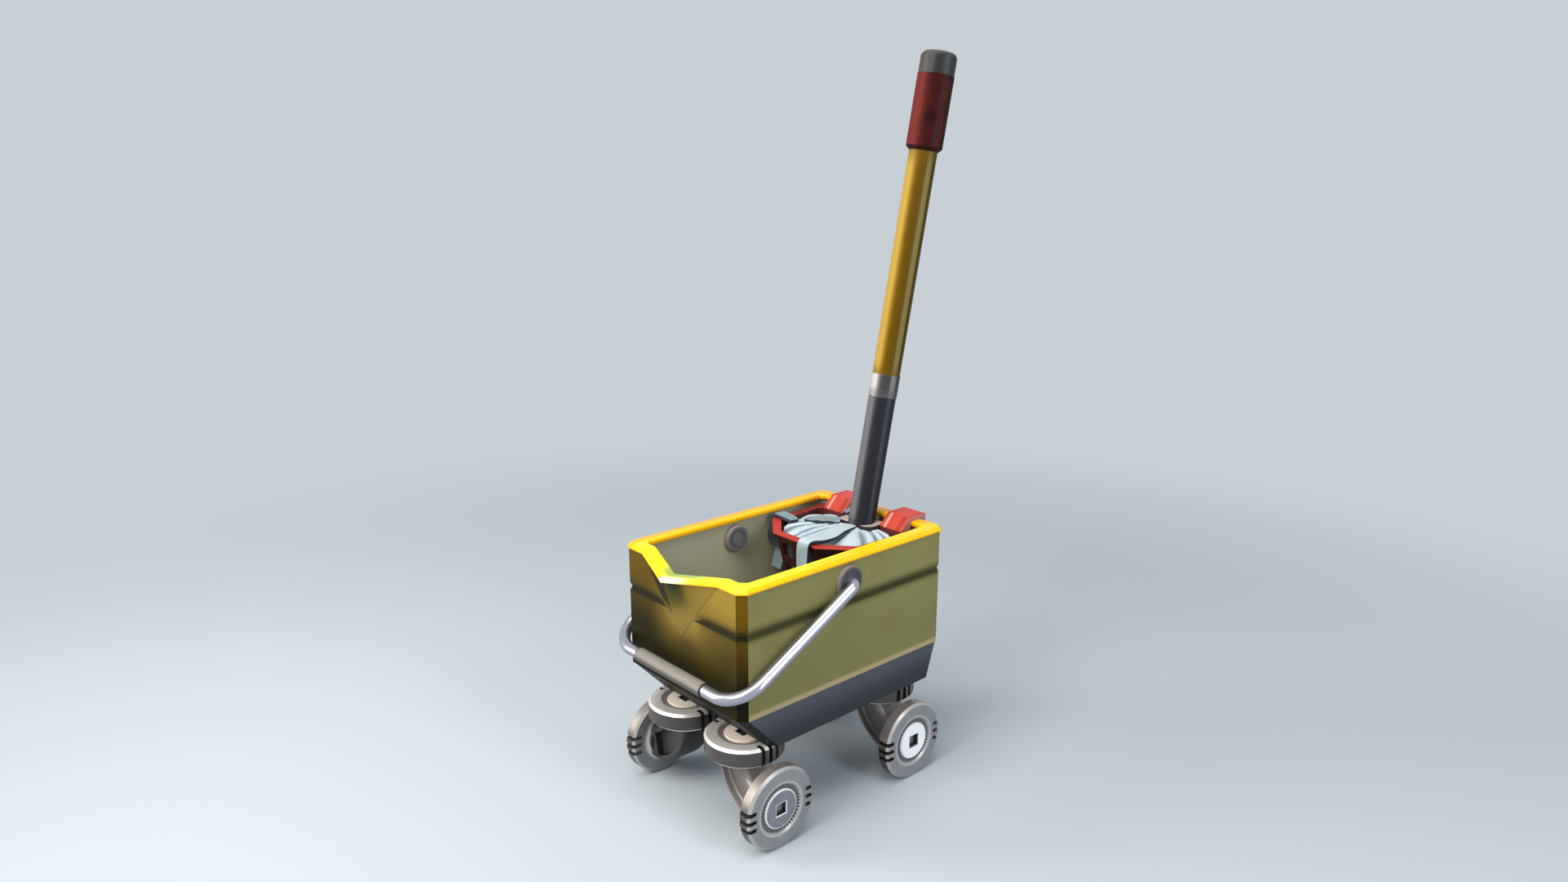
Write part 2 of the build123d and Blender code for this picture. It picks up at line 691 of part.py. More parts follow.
with BuildPart() as upper_tube:
    with BuildSketch(pole.offset(ferrule_top)):
        Circle(pole_r)
        Circle(tube_bore + seat, mode=Mode.SUBTRACT)
    extrude(amount=grip_end - ferrule_top)
upper_tube.part.label = "upper_tube"
export_step(upper_tube.part, "parts/upper_tube.step")

with BuildPart() as hand_grip:
    with BuildSketch(pole.offset(grip_start)):
        Circle(hand_grip_r)
    extrude(amount=grip_end - grip_start)
    chamfer(hand_grip.edges().sort_by(Axis.Z)[0], grip_taper)
    with BuildSketch(pole.offset(grip_start)):
        Circle(pole_r + seat)
    extrude(amount=grip_end - grip_start, mode=Mode.SUBTRACT)
hand_grip.part.label = "hand_grip"
export_step(hand_grip.part, "parts/hand_grip.step")

with BuildPart() as end_cap:
    with BuildSketch(pole.offset(grip_end)):
        Circle(hand_grip_r - 0.5)
    extrude(amount=cap_end - grip_end)
    fillet(end_cap.edges().sort_by(Axis.Z)[-1], cap_round)
    with BuildSketch(pole.offset(grip_end - spigot)):
        Circle(tube_bore)
    extrude(amount=spigot)
end_cap.part.label = "end_cap"
export_step(end_cap.part, "parts/end_cap.step")

# Yarn head: the soft bundle that fills the basket, pressed flat where the flange sits on it
with BuildPart() as yarn_head:
    loft([level(yarn_low_z, both_sides(yarn_low)), level(yarn_wide_z, both_sides(yarn_wide))], ruled=True)
    loft([level(yarn_wide_z, both_sides(yarn_wide)), level(yarn_top_z, both_sides(yarn_top))], ruled=True)
    with BuildSketch(flange_top.offset(-flange_thick)):
        Rectangle(2 * flange_half[1][0] + 4, 2 * flange_half[-1][1] + 4)
    extrude(amount=2 * flange_thick, mode=Mode.SUBTRACT)
yarn_head.part.label = "yarn_head"
export_step(yarn_head.part, "parts/yarn_head.step")


# A flat strip bent along a line in the given plane, its underside on the line
def strip(plane, points, bend, width):
    with BuildPart() as band:
        with BuildSketch(plane):
            with BuildLine():
                FilletPolyline(*points, radius=bend)
                offset(amount=strip_thick, side=Side.LEFT)
            make_face()
        extrude(amount=width / 2, both=True)
    return band.part


# Loose strips: over the ring at the left and at the front, and two that lie short
over_left = [(-100.5, 288), (-99, 369.6), (-70, 369.6), (-40, 367.1)]
over_front = [(10, 322), (10.4, 369.6), (40, 369.6), (62, 367.1), (116, 367.1)]
short_left = [(-68, 364), (-58, 367.6), (-22, 367.6)]
short_back = [(150, 370.3), (158, 371.3), (170, 376)]
strips = [
    strip(front.offset(-62), over_left, [4, 20], 22),
    strip(side.offset(20), over_front, [4, 20, 20], 22),
    strip(front.offset(-112), short_left, 8, 22),
    strip(side.offset(-31), short_back, 8, 12),
]
mop_strips = Compound(label="mop_strips", children=strips)
export_step(mop_strips, "parts/mop_strips.step")
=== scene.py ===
import math

import bpy
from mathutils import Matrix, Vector


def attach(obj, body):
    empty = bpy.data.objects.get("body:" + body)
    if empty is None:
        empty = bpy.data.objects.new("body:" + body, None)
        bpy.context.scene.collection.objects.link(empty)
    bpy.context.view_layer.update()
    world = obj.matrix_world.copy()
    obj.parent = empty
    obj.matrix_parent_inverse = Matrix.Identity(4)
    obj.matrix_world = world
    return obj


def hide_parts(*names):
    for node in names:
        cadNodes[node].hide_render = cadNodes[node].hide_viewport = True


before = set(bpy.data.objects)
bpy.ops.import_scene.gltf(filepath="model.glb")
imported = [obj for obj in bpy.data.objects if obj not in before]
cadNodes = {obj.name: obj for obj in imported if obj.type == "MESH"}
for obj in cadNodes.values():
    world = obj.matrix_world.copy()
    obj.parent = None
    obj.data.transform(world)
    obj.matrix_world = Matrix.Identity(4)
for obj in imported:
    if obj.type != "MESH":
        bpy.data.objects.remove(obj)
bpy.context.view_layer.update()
bpy.ops.object.select_all(action="DESELECT")
tubY = -0.019215  # middle of the tub, front to back
print("frame:", len(cadNodes), "nodes")

# camera where the photograph was taken from
view = {"place": (1.0911, -1.0081, 0.887), "turn": (76.01, 0.0, 48.04), "lens": 24.44}
bpy.ops.object.camera_add(location=view["place"], rotation=[math.radians(a) for a in view["turn"]])
camera = bpy.context.object
camera.data.lens = view["lens"]
camera.data.sensor_width = 36
bpy.context.scene.camera = camera
bpy.context.scene.view_settings.view_transform = "Standard"


def tone(red, green, blue):  # a colour by its screen values
    def linear(part):
        part = part / 255
        return part / 12.92 if part < 0.04045 else ((part + 0.055) / 1.055) ** 2.4

    return (linear(red), linear(green), linear(blue), 1.0)


class Value:
    def __init__(self, finish, socket):
        self.finish = finish
        self.socket = socket

    def sum(self, operation, *terms):
        return self.finish.node("Math", {"operation": operation}, dict(enumerate(terms)))

    def __add__(self, other):
        return self.sum("ADD", self, other)

    def __radd__(self, other):
        return self.sum("ADD", other, self)

    def __sub__(self, other):
        return self.sum("SUBTRACT", self, other)

    def __rsub__(self, other):
        return self.sum("SUBTRACT", other, self)

    def __mul__(self, other):
        return self.sum("MULTIPLY", self, other)

    def __truediv__(self, other):
        return self.sum("DIVIDE", self, other)

    def __pow__(self, other):
        return self.sum("POWER", self, other)

    def __abs__(self):
        return self.sum("ABSOLUTE", self)

    def __neg__(self):
        return self.sum("MULTIPLY", self, -1.0)


class Finish:
    def __init__(self, name, fixed):
        self.material = bpy.data.materials.new(name)
        self.material.use_nodes = True
        self.tree = self.material.node_tree
        self.shader = self.tree.nodes["Principled BSDF"]
        for socket, value in fixed.items():
            self.shader.inputs[socket].default_value = value

    def node(self, kind, settings={}, sockets={}, out=0):
        made = self.tree.nodes.new("ShaderNode" + kind)
        for name, value in settings.items():
            setattr(made, name, value)
        self.fill(made, sockets)
        if isinstance(out, tuple):
            return [Value(self, made.outputs[each]) for each in out]
        return Value(self, made.outputs[out])

    def fill(self, made, sockets):
        for name, value in sockets.items():
            if isinstance(value, Value):
                self.tree.links.new(value.socket, made.inputs[name])
            else:
                made.inputs[name].default_value = value

    def send(self, **sockets):
        names = {
            "colour": "Base Color",
            "rough": "Roughness",
            "metal": "Metallic",
            "normal": "Normal",
            "solid": "Alpha",
        }
        self.fill(self.shader, {names[key]: value for key, value in sockets.items()})

    def place(self, kind="Object"):
        return self.node("TexCoord", out=kind)

    def at(self):
        return self.node("SeparateXYZ", {}, {0: self.place()}, out=(0, 1, 2))

    def facing(self):
        return self.node("SeparateXYZ", {}, {0: self.place("Normal")}, out=(0, 1, 2))

    def blend(self, mask, first, second):
        return self.node("Mix", {"data_type": "RGBA"}, {0: mask, 6: first, 7: second}, out=2)

    def step(self, value, low, high):
        return self.node("MapRange", {"interpolation_type": "SMOOTHSTEP"}, {0: value, 1: low, 2: high})

    def most(self, first, second):
        return first.sum("MAXIMUM", first, second)

    def noise(self, scale, detail=3.0, stretch=None):
        where = self.place()
        if stretch:
            where = self.node("Mapping", {}, {"Vector": where, "Scale": stretch})
        return self.node("TexNoise", {}, {"Vector": where, "Scale": scale, "Detail": detail})

    def bump(self, height, strength, distance=0.0004):
        return self.node("Bump", {}, {"Strength": strength, "Distance": distance, "Height": height})

    def coat(self, *names):
        for name in names:
            slots = cadNodes[name].data.materials
            slots.clear()
            slots.append(self.material)


# soft studio: a pale disc of floor that fades into a pale sky, and four soft lamps
studio = {
    "floorReach": 4.0,
    "fade": (2.2, 0.7),
    "pale": tone(200, 208, 214),
    "paper": tone(188, 196, 202),
    "cloud": tone(180, 189, 196),
    "lamps": [
        # name, place, height aimed at, width, height, power, colour
        ("warmLamp", (-1.8, -2.1, 1.35), 0.55, 0.9, 2.5, 52, (1.0, 0.95, 0.86)),
        ("coolLamp", (2.4, 0.15, 1.25), 0.55, 0.7, 2.3, 30, (0.90, 0.95, 1.0)),
        ("topLamp", (0.35, -0.9, 2.95), 0.35, 2.0, 2.0, 52, (1.0, 0.99, 0.97)),
        ("frontLamp", (0.2, -1.9, 1.75), 0.15, 0.9, 0.9, 28, (1.0, 0.98, 0.95)),
    ],
    "sky": 0.34,
}
bpy.ops.mesh.primitive_circle_add(vertices=96, radius=studio["floorReach"], fill_type="NGON")
floor = bpy.context.object
floor.name = "floor"
bpy.ops.object.mode_set(mode="EDIT")
bpy.ops.mesh.select_all(action="SELECT")
bpy.ops.mesh.inset(thickness=studio["floorReach"] * 0.5)
bpy.ops.object.mode_set(mode="OBJECT")
paper = Finish("paleFloor", {"Roughness": 0.9, "Specular IOR Level": 0.1})
x, y, _ = paper.at()
reach = (x * x + y * y) ** 0.5
cloud = paper.noise(1.6, 2.0)
paper.send(
    colour=paper.blend(cloud * 0.25, studio["paper"], studio["cloud"]),
    solid=paper.step(reach, *studio["fade"]),
)
floor.data.materials.append(paper.material)
for name, place, aim, width, height, power, colour in studio["lamps"]:
    bpy.ops.object.light_add(type="AREA", location=place)
    lamp = bpy.context.object
    lamp.name = name
    lamp.data.shape = "RECTANGLE"
    lamp.data.size = width
    lamp.data.size_y = height
    lamp.data.energy = power
    lamp.data.color = colour
    lamp.rotation_euler = (Vector((0, 0, aim)) - Vector(place)).to_track_quat("-Z", "Y").to_euler()
world = bpy.data.worlds.new("studioSky")
world.use_nodes = True
skyNodes = world.node_tree.nodes
skyLinks = world.node_tree.links
glow = skyNodes["Background"]
glow.inputs["Color"].default_value = (0.80, 0.88, 0.95, 1.0)
glow.inputs["Strength"].default_value = studio["sky"]
backdrop = skyNodes.new("ShaderNodeBackground")
backdrop.inputs["Color"].default_value = studio["pale"]
seen = skyNodes.new("ShaderNodeLightPath")
choose = skyNodes.new("ShaderNodeMixShader")
shown = seen.outputs["Is Camera Ray"]
for ray in ("Is Glossy Ray", "Is Transmission Ray"):  # metal mirrors the pale backdrop too
    either = skyNodes.new("ShaderNodeMath")
    either.operation = "MAXIMUM"
    skyLinks.new(shown, either.inputs[0])
    skyLinks.new(seen.outputs[ray], either.inputs[1])
    shown = either.outputs[0]
skyLinks.new(shown, choose.inputs[0])
skyLinks.new(glow.outputs[0], choose.inputs[1])
skyLinks.new(backdrop.outputs[0], choose.inputs[2])
skyLinks.new(choose.outputs[0], skyNodes["World Output"].inputs["Surface"])
bpy.context.scene.world = world
print("studio ready")

# tub: painted light and shade on one yellow plastic: olive sides in painted shade, a lit golden front that
# darkens into painted shade downwards, and painted shade in a soft band along the groove
tubLook = {
    "side": tone(136, 131, 83),
    "sideLow": tone(127, 123, 79),
    "goldHigh": tone(150, 124, 50),
    "goldLow": tone(30, 27, 4),
    "leftHigh": tone(92, 72, 8),
    "leftLow": tone(28, 25, 4),
    "cornerHigh": tone(106, 79, 11),
    "cornerLow": tone(25, 23, 7),
    "inside": tone(180, 176, 150),
    "seam": tone(178, 156, 118),
    "teal": tone(34, 46, 30),
    "lipGlow": tone(164, 141, 68),
    "shade": tone(9, 13, 6),
    "blotch": tone(120, 106, 60),
    "goldRight": tone(44, 38, 6),
    "goldMiddle": tone(96, 84, 34),
    "flank": tone(172, 146, 74),
    "band": tone(48, 42, 22),
    "ledge": tone(20, 17, 4),
    "groove": 0.3175,
    "wallX": (0.116, 0.119),
    "wallY": (0.183, 0.186),
    "lipFrom": (0.197, 0.199),
}
tub = Finish("tubPlastic", {"Specular IOR Level": 0.06})
x, y, z = tub.at()
y = y - tubY
faceX, faceY, faceZ = tub.facing()
outside = tub.most(tub.step(abs(x), *tubLook["wallX"]), tub.step(abs(y), *tubLook["wallY"]))
frontSide = tub.step(-faceY, 0.3, 0.6) * tub.step(-y, 0.17, 0.19)
corner = tub.step(abs(faceX), 0.4, 0.6) * tub.step(abs(faceY), 0.4, 0.6) * tub.step(abs(x), 0.112, 0.118)
blotch = tub.noise(14.0, 4.0)
# painted shade: the olive sides are the tub's plastic as it looks in shade
sideColour = tub.blend(tub.step(z, 0.21, 0.36), tubLook["sideLow"], tubLook["side"])
sideColour = tub.blend(tub.step(blotch, 0.45, 0.75) * 0.35, sideColour, tubLook["blotch"])
# painted light and shade: the front is lit gold at the top and darkens into painted shade towards the bottom
goldColour = tub.blend(tub.step(z + blotch * 0.02, 0.238, 0.378), tubLook["goldLow"], tubLook["goldHigh"])
# painted shade: the front darkens towards its lower right
lowRight = tub.step(x, 0.02, 0.11) * tub.step(z, 0.345, 0.30)
goldColour = tub.blend(lowRight * 0.55, goldColour, tubLook["goldRight"])
# painted shade: the upper middle of the front, beside the lip, is darker
highMiddle = tub.step(x, 0.075, -0.005) * tub.step(z, 0.305, 0.345)
goldColour = tub.blend(highMiddle * 0.8, goldColour, tubLook["goldMiddle"])
# painted shade: the left part of the front is darker, most of all towards the bottom
leftColour = tub.blend(tub.step(z, 0.27, 0.37), tubLook["leftLow"], tubLook["leftHigh"])
goldColour = tub.blend(tub.step(x, -0.015, -0.08) * 0.9, goldColour, leftColour)
lipRight = tub.step(x, -0.002, 0.001)
# painted highlight: a soft pale spot on the front below the lip
spot = tub.step(abs(x - 0.008), 0.055, 0.0) * tub.step(abs(z - 0.306), 0.036, 0.0)
goldColour = tub.blend(spot * 0.6, goldColour, tubLook["lipGlow"])
# painted reflection: a dark teal streak down the right of the lip's ridge
streak = tub.step(abs(x - 0.014), 0.022, 0.004) * lipRight
goldColour = tub.blend(streak * (tub.step(z, 0.318, 0.365) * 0.7 + 0.15), goldColour, tubLook["teal"])
onLip = tub.step(-y, *tubLook["lipFrom"])
# painted light: the right flank of the lip is lightened to even out its shade
flank = tub.step(faceX, 0.12, 0.22) * onLip * lipRight
toEdge = tub.step(x - (z - 0.275) * 0.84, -0.045, 0.0)  # the flank ends on this slanting line
goldColour = tub.blend(flank * toEdge * 0.34, goldColour, tubLook["flank"])
lipShade = tub.step(-faceX, 0.12, 0.3) * tub.step(abs(x), 0.075, 0.06) * onLip * tub.step(z, 0.300, 0.335)
goldColour = tub.blend(lipShade * 0.9, goldColour, tubLook["shade"])
colour = tub.blend(frontSide, sideColour, goldColour)
# painted shade: the front corners are darker, darkest towards the bottom
cornerColour = tub.blend(tub.step(z, 0.225, 0.385), tubLook["cornerLow"], tubLook["cornerHigh"])
colour = tub.blend(corner * tub.step(-y, 0.1, 0.15), colour, cornerColour)
# painted shade: a soft dark band along the groove, kept off the middle of the front
band = tub.step(abs(z - tubLook["groove"]), 0.015, 0.002)
middle = frontSide * tub.step(abs(x), 0.06, 0.035)
colour = tub.blend(band * (1 - middle) * 0.68, colour, tubLook["band"])
# painted shade: a dark line on the upward ledge in the groove
ledge = tub.step(faceZ, 0.15, 0.4) * tub.step(abs(z - 0.3135), 0.006, 0.004)
colour = tub.blend(ledge * (0.5 + frontSide * 0.4), colour, tubLook["ledge"])
seam = tub.step(z, 0.2095, 0.2035) * tub.step(abs(faceX), 0.8, 0.95)
colour = tub.blend(seam * 0.9, colour, tubLook["seam"])
# the inside wall's own grey-olive, made lighter as painted light against the shade inside the tub
colour = tub.blend(outside, tubLook["inside"], colour)
grain = tub.noise(900.0, 2.0)
tub.send(colour=colour, rough=0.4 + blotch * 0.14, normal=tub.bump(grain, 0.06))
tub.coat("tub_shell")

# rim: bright yellow in front, painted shade turning it orange on the slopes, at the back, on the right and
# along the lower edge, a green tint inside the pouring lip and a painted highlight at its tip
rimLook = {
    "top": tone(255, 242, 10),
    "slope": tone(255, 190, 4),
    "far": tone(255, 166, 2),
    "right": tone(255, 192, 4),
    "lowEdge": tone(236, 150, 4),
    "inLip": tone(122, 168, 84),
    "tip": tone(255, 255, 232),
    "scuff": tone(250, 196, 10),
    "lipY": 0.175,
    "lipHalf": 0.082,
    "lipDeep": 0.027,
}
rim = Finish("rimYellow", {"Specular IOR Level": 0.3})
x, y, z = rim.at()
_, _, faceZ = rim.facing()
y = y - tubY
# painted shade: orange where the rim slopes away from the top
slope = rim.step(faceZ, 0.95, 0.6)
colour = rim.blend(slope, rimLook["top"], rimLook["slope"])
# painted shade: orange on the far side and down the right side
farSide = rim.most(rim.step(x, -0.095, -0.125), rim.step(y, 0.16, 0.185) * rim.step(x, 0.125, 0.1))
colour = rim.blend(farSide * 0.92, colour, rimLook["far"])
rightSide = rim.step(x, 0.105, 0.118) * rim.step(y, -0.17, -0.02)
colour = rim.blend(rightSide * 0.8, colour, rimLook["right"])
# painted shade: orange along the lower edge of the rim
lowEdge = rim.step(z, 0.3785, 0.3755) * rim.step(abs(x), 0.126, 0.13)
colour = rim.blend(lowEdge * 0.55, colour, rimLook["lowEdge"])
lipEdge = (1 - abs(x) / rimLook["lipHalf"]) * rimLook["lipDeep"]
fromInside = -y - rimLook["lipY"] - lipEdge  # metres out from the inner edge of the lip
byLip = rim.step(-y, 0.172, 0.178)
inLip = byLip * rim.step(fromInside, 0.017, 0.011) * rim.step(x, -0.030, -0.014) * rim.step(x, 0.060, 0.036)
colour = rim.blend(inLip * 0.85, colour, rimLook["inLip"])
# painted highlight: a pale mark at the tip of the pouring lip
tip = byLip * rim.step(fromInside, 0.016, 0.020) * rim.step(x, -0.010, 0.001) * rim.step(x, 0.046, 0.012)
colour = rim.blend(tip * 0.75, colour, rimLook["tip"])
scuff = rim.noise(26.0, 4.0)
colour = rim.blend(rim.step(scuff, 0.55, 0.8) * 0.25, colour, rimLook["scuff"])
rim.send(colour=colour, rough=0.26 + scuff * 0.12, normal=rim.bump(rim.noise(700.0, 2.0), 0.05))
rim.coat("rim_trim")

# base tray: dark slate moulding, lighter towards the seam, painted shade making it almost black in front
trayLook = {
    "low": tone(44, 46, 52),
    "high": tone(80, 82, 92),
    "mottle": tone(64, 66, 74),
    "front": tone(15, 16, 18),
    "frontMottle": tone(22, 23, 26),
}
tray = Finish("traySlate", {"Specular IOR Level": 0.14})
_, _, z = tray.at()
_, faceY, _ = tray.facing()
mottle = tray.noise(30.0, 4.0)
colour = tray.blend(tray.step(z, 0.15, 0.2), trayLook["low"], trayLook["high"])
colour = tray.blend(mottle * 0.25, colour, trayLook["mottle"])
# painted shade: the front faces are almost black
frontColour = tray.blend(mottle, trayLook["front"], trayLook["frontMottle"])
colour = tray.blend(tray.step(-faceY, 0.2, 0.5), colour, frontColour)
tray.send(colour=colour, rough=0.42 + mottle * 0.15, normal=tray.bump(tray.noise(800.0, 2.0), 0.08))
tray.coat("base_pan")

# pivots: dark discs with a pale edge, painted light on their inner faces, and a fine ring line
pivotLook = {
    "y": tubY - 0.0075,
    "z": 0.3475,
    "plain": tone(74, 74, 82),
    "worn": tone(58, 58, 66),
    "inner": tone(118, 120, 126),
    "edge": tone(142, 131, 121),
    "line": tone(54, 53, 62),
    "lineReach": 0.0142,
}
pivot = Finish("pivotSlate", {"Specular IOR Level": 0.25})
x, y, z = pivot.at()
faceX, _, _ = pivot.facing()
reach = ((y - pivotLook["y"]) ** 2.0 + (z - pivotLook["z"]) ** 2.0) ** 0.5
worn = pivot.noise(60.0, 4.0)
colour = pivot.blend(pivot.step(worn, 0.35, 0.75), pivotLook["plain"], pivotLook["worn"])
# painted light: the inner faces are lighter to even out the shade they sit in
colour = pivot.blend(pivot.step(faceX * x, 0.0, -0.02) * 0.8, colour, pivotLook["inner"])
ringLine = pivot.step(abs(reach - pivotLook["lineReach"]), 0.0016, 0.0006)
colour = pivot.blend(ringLine * 0.5, colour, pivotLook["line"])
colour = pivot.blend(pivot.step(abs(faceX), 0.85, 0.5), colour, pivotLook["edge"])
pivot.send(colour=colour, rough=0.34 + worn * 0.2, normal=pivot.bump(worn, 0.1))
pivot.coat("pivot_bush_right", "pivot_bush_left", "pivot_cap_right", "pivot_cap_left")

# bail: bright chromed rod, painted shade and a painted dull reflection underneath, and a grey sleeve with
# painted shade below and behind, and dark ends
bailLook = {
    "bright": tone(190, 188, 197),
    "smear": tone(172, 170, 181),
    "side": tone(142, 140, 155),
    "under": tone(78, 80, 98),
}
chrome = Finish("bailChrome", {})
_, _, faceZ = chrome.facing()
smear = chrome.noise(18.0, 2.0)
colour = chrome.blend(smear * 0.35, bailLook["bright"], bailLook["smear"])
# painted shade: greyer on the lower side
colour = chrome.blend(chrome.step(faceZ, 0.3, -0.2) * 0.6, colour, bailLook["side"])
# painted reflection: a dull navy underside
colour = chrome.blend(chrome.step(faceZ, -0.5, -0.9) * 0.7, colour, bailLook["under"])
chrome.send(
    colour=colour,
    metal=0.86 + smear * 0.06,
    rough=0.19 + smear * 0.08,
    normal=chrome.bump(smear, 0.03, 0.0005),
)
chrome.coat("bail_rod")
sleeveLook = {
    "plain": tone(132, 126, 116),
    "dust": tone(108, 103, 95),
    "under": tone(46, 44, 45),
    "back": tone(96, 90, 84),
    "ends": tone(46, 43, 44),
    "endsFrom": (0.0716, 0.0728),
}
sleeve = Finish("gripGrey", {"Specular IOR Level": 0.4})
x, _, _ = sleeve.at()
_, faceY, faceZ = sleeve.facing()
dust = sleeve.noise(120.0, 4.0, (0.3, 1.0, 1.0))
colour = sleeve.blend(dust * 0.4, sleeveLook["plain"], sleeveLook["dust"])
# painted shade: darker underneath and towards the back
colour = sleeve.blend(sleeve.step(faceZ, 0.4, -0.3) * 0.85, colour, sleeveLook["under"])
colour = sleeve.blend(sleeve.step(faceY, -0.1, 0.8) * 0.6, colour, sleeveLook["back"])
colour = sleeve.blend(sleeve.step(abs(x), *sleeveLook["endsFrom"]), colour, sleeveLook["ends"])
sleeve.send(colour=colour, rough=0.36 + dust * 0.2, normal=sleeve.bump(dust, 0.12))
sleeve.coat("bail_grip")
print("tub and bail finished")

# castors: warm cast metal, lit above and shaded below on the edges, painted highlights on the bevels and in
# a ring round each hub, painted shade in the dark fluted groove round each hub and in the dark notches in
# the edge
castorLook = {
    "x": 0.066,
    "front": -0.141,
    "back": 0.127,
    "axle": 0.059,
    "flutes": 44.0,
    "ringReach": 0.0384,
    "hubReach": 0.0300,
    "edge": tone(92, 86, 82),
    "edgeDull": tone(72, 66, 63),
    "edgeTop": tone(146, 138, 132),
    "edgeUnder": tone(74, 67, 64),
    "bevel": tone(214, 206, 198),
    "ring": tone(226, 222, 218),
    "flute": tone(120, 114, 110),
    "hubRing": tone(255, 253, 250),
    "notch": tone(30, 28, 30),
}
discLook = {
    # painted light: the disc faces are much paler than the wheel faces to even out the shade under the tub
    "pale": tone(252, 246, 239),
    "dull": tone(234, 228, 220),
    "hollow": tone(92, 85, 80),
    "brush": (1.0, 1.0, 0.12),
    "bevelShare": 0.4,
    "notchFrom": (0.0424, 0.0432),
}
wheelLook = {
    "pale": tone(158, 157, 159),
    "dull": tone(132, 131, 134),
    "hollow": tone(40, 38, 40),
    "brush": (0.12, 1.0, 1.0),
    "bevelShare": 0.48,
    "notchFrom": (0.0432, 0.0442),
}
ends = [f"{end}_{hand}" for end in ("front", "back") for hand in ("right", "left")]


def fromHub(finish, flat):  # place measured from the middle of the nearest disc or wheel
    x, y, z = finish.at()
    y = y - tubY
    behind = y.sum("GREATER_THAN", y, 0.0)
    along = y - (castorLook["front"] + behind * (castorLook["back"] - castorLook["front"]))
    across = abs(x) - castorLook["x"] if flat else z - castorLook["axle"]
    return along, across, (along * along + across * across) ** 0.5


def castorFinish(name, flat, look):  # flat for the discs under the tray, upright for the wheels
    metal = Finish(name, {})
    along, across, reach = fromHub(metal, flat)
    faceX, _, faceZ = metal.facing()
    flatness = abs(faceZ) if flat else abs(faceX)
    turn = across.sum("ARCTAN2", across, along)
    flute = metal.step(turn.sum("SINE", turn * castorLook["flutes"]), -0.6, 0.6)
    onFace = metal.step(flatness, 0.35, 0.6)
    groove = metal.step(reach, 0.0280, 0.0286) * metal.step(reach + flute * 0.0016, 0.0362, 0.0344) * onFace
    # painted highlight: a thin pale ring just outside the groove
    ring = metal.step(abs(reach - castorLook["ringReach"]), 0.0018, 0.0008) * onFace
    cloud = metal.noise(34.0, 4.0)
    brush = metal.noise(420.0, 3.0, look["brush"])
    faceColour = metal.blend(cloud, look["pale"], look["dull"])
    edgeColour = metal.blend(cloud, castorLook["edge"], castorLook["edgeDull"])
    # painted light and shade: edges lighter where they face up, darker underneath
    edgeColour = metal.blend(metal.step(faceZ, 0.0, 0.7), edgeColour, castorLook["edgeTop"])
    edgeColour = metal.blend(metal.step(faceZ, -0.05, -0.6), edgeColour, castorLook["edgeUnder"])
    colour = metal.blend(onFace, edgeColour, faceColour)
    # painted highlight along the bevels
    bevel = metal.step(abs(flatness - 0.7), 0.25, 0.1)
    colour = metal.blend(bevel * look["bevelShare"], colour, castorLook["bevel"])
    colour = metal.blend(ring * 0.45, colour, castorLook["ring"])
    # painted shade in the fluted groove, lighter on the flutes
    colour = metal.blend(groove * 0.9, colour, metal.blend(flute, look["hollow"], castorLook["flute"]))
    if not flat:
        x, _, _ = metal.at()
        nearHub = metal.step(abs(reach - castorLook["hubReach"]), 0.0072, 0.0066)
        hubRing = metal.step(faceX * x, 0.0, -0.01) * nearHub  # only on the inner faces
        colour = metal.blend(hubRing * onFace, colour, castorLook["hubRing"])
    outward, sideways = (abs(across), abs(along)) if flat else (abs(along), abs(across))
    # painted shade in the notches, reaching a little past them onto the face
    between = metal.step(abs(sideways - 0.006), 0.0029, 0.0033) * metal.step(sideways, 0.0152, 0.0148)
    notch = between * metal.step(outward, *look["notchFrom"])
    colour = metal.blend(notch * 0.85, colour, castorLook["notch"])
    metal.send(
        colour=colour,
        metal=0.5 - groove * 0.3,
        rough=0.3 + cloud * 0.16 + groove * 0.2,
        normal=metal.bump(brush, 0.08),
    )
    return metal


discMetal = castorFinish("discMetal", True, discLook)
discMetal.coat(*[f"swivel_disc_{end}" for end in ends])
wheelMetal = castorFinish("wheelMetal", False, wheelLook)
wheelMetal.coat(*[f"wheel_{end}" for end in ends])

# hub caps: painted reflections on one polished finish, cream on the discs, white behind and slate with a
# white highlight ring in front on the wheels, round a square window in painted shade
# painted shade in the square window of each cap
windowHole = tone(34, 32, 34)
discCapLook = {
    "pale": tone(255, 242, 224),
    "edge": tone(236, 222, 202),
    "window": tone(120, 110, 100),
    "rough": 0.3,
}
whiteCapLook = {
    "pale": tone(250, 250, 252),
    "edge": tone(222, 222, 228),
    "window": tone(90, 88, 92),
    "rough": 0.26,
}
# painted reflection: a dark slate face with a painted white highlight ring and window edge
slateCapLook = {
    "pale": tone(98, 99, 110),
    "edge": tone(236, 235, 240),
    "window": tone(238, 238, 242),
    "rough": 0.18,
}


def capFinish(name, flat, look):
    cap = Finish(name, {"Specular IOR Level": 0.5})
    along, across, reach = fromHub(cap, flat)
    window = cap.most(abs(along), abs(across))
    film = cap.noise(70.0, 4.0)
    colour = cap.blend(film * 0.2, look["pale"], look["edge"])
    colour = cap.blend(cap.step(reach, 0.0258, 0.0270), colour, look["edge"])
    colour = cap.blend(cap.step(window, 0.0103, 0.0094), colour, look["window"])
    colour = cap.blend(cap.step(window, 0.0087, 0.0083), colour, windowHole)
    cap.send(colour=colour, rough=look["rough"] + film * 0.12, normal=cap.bump(film, 0.06))
    return cap


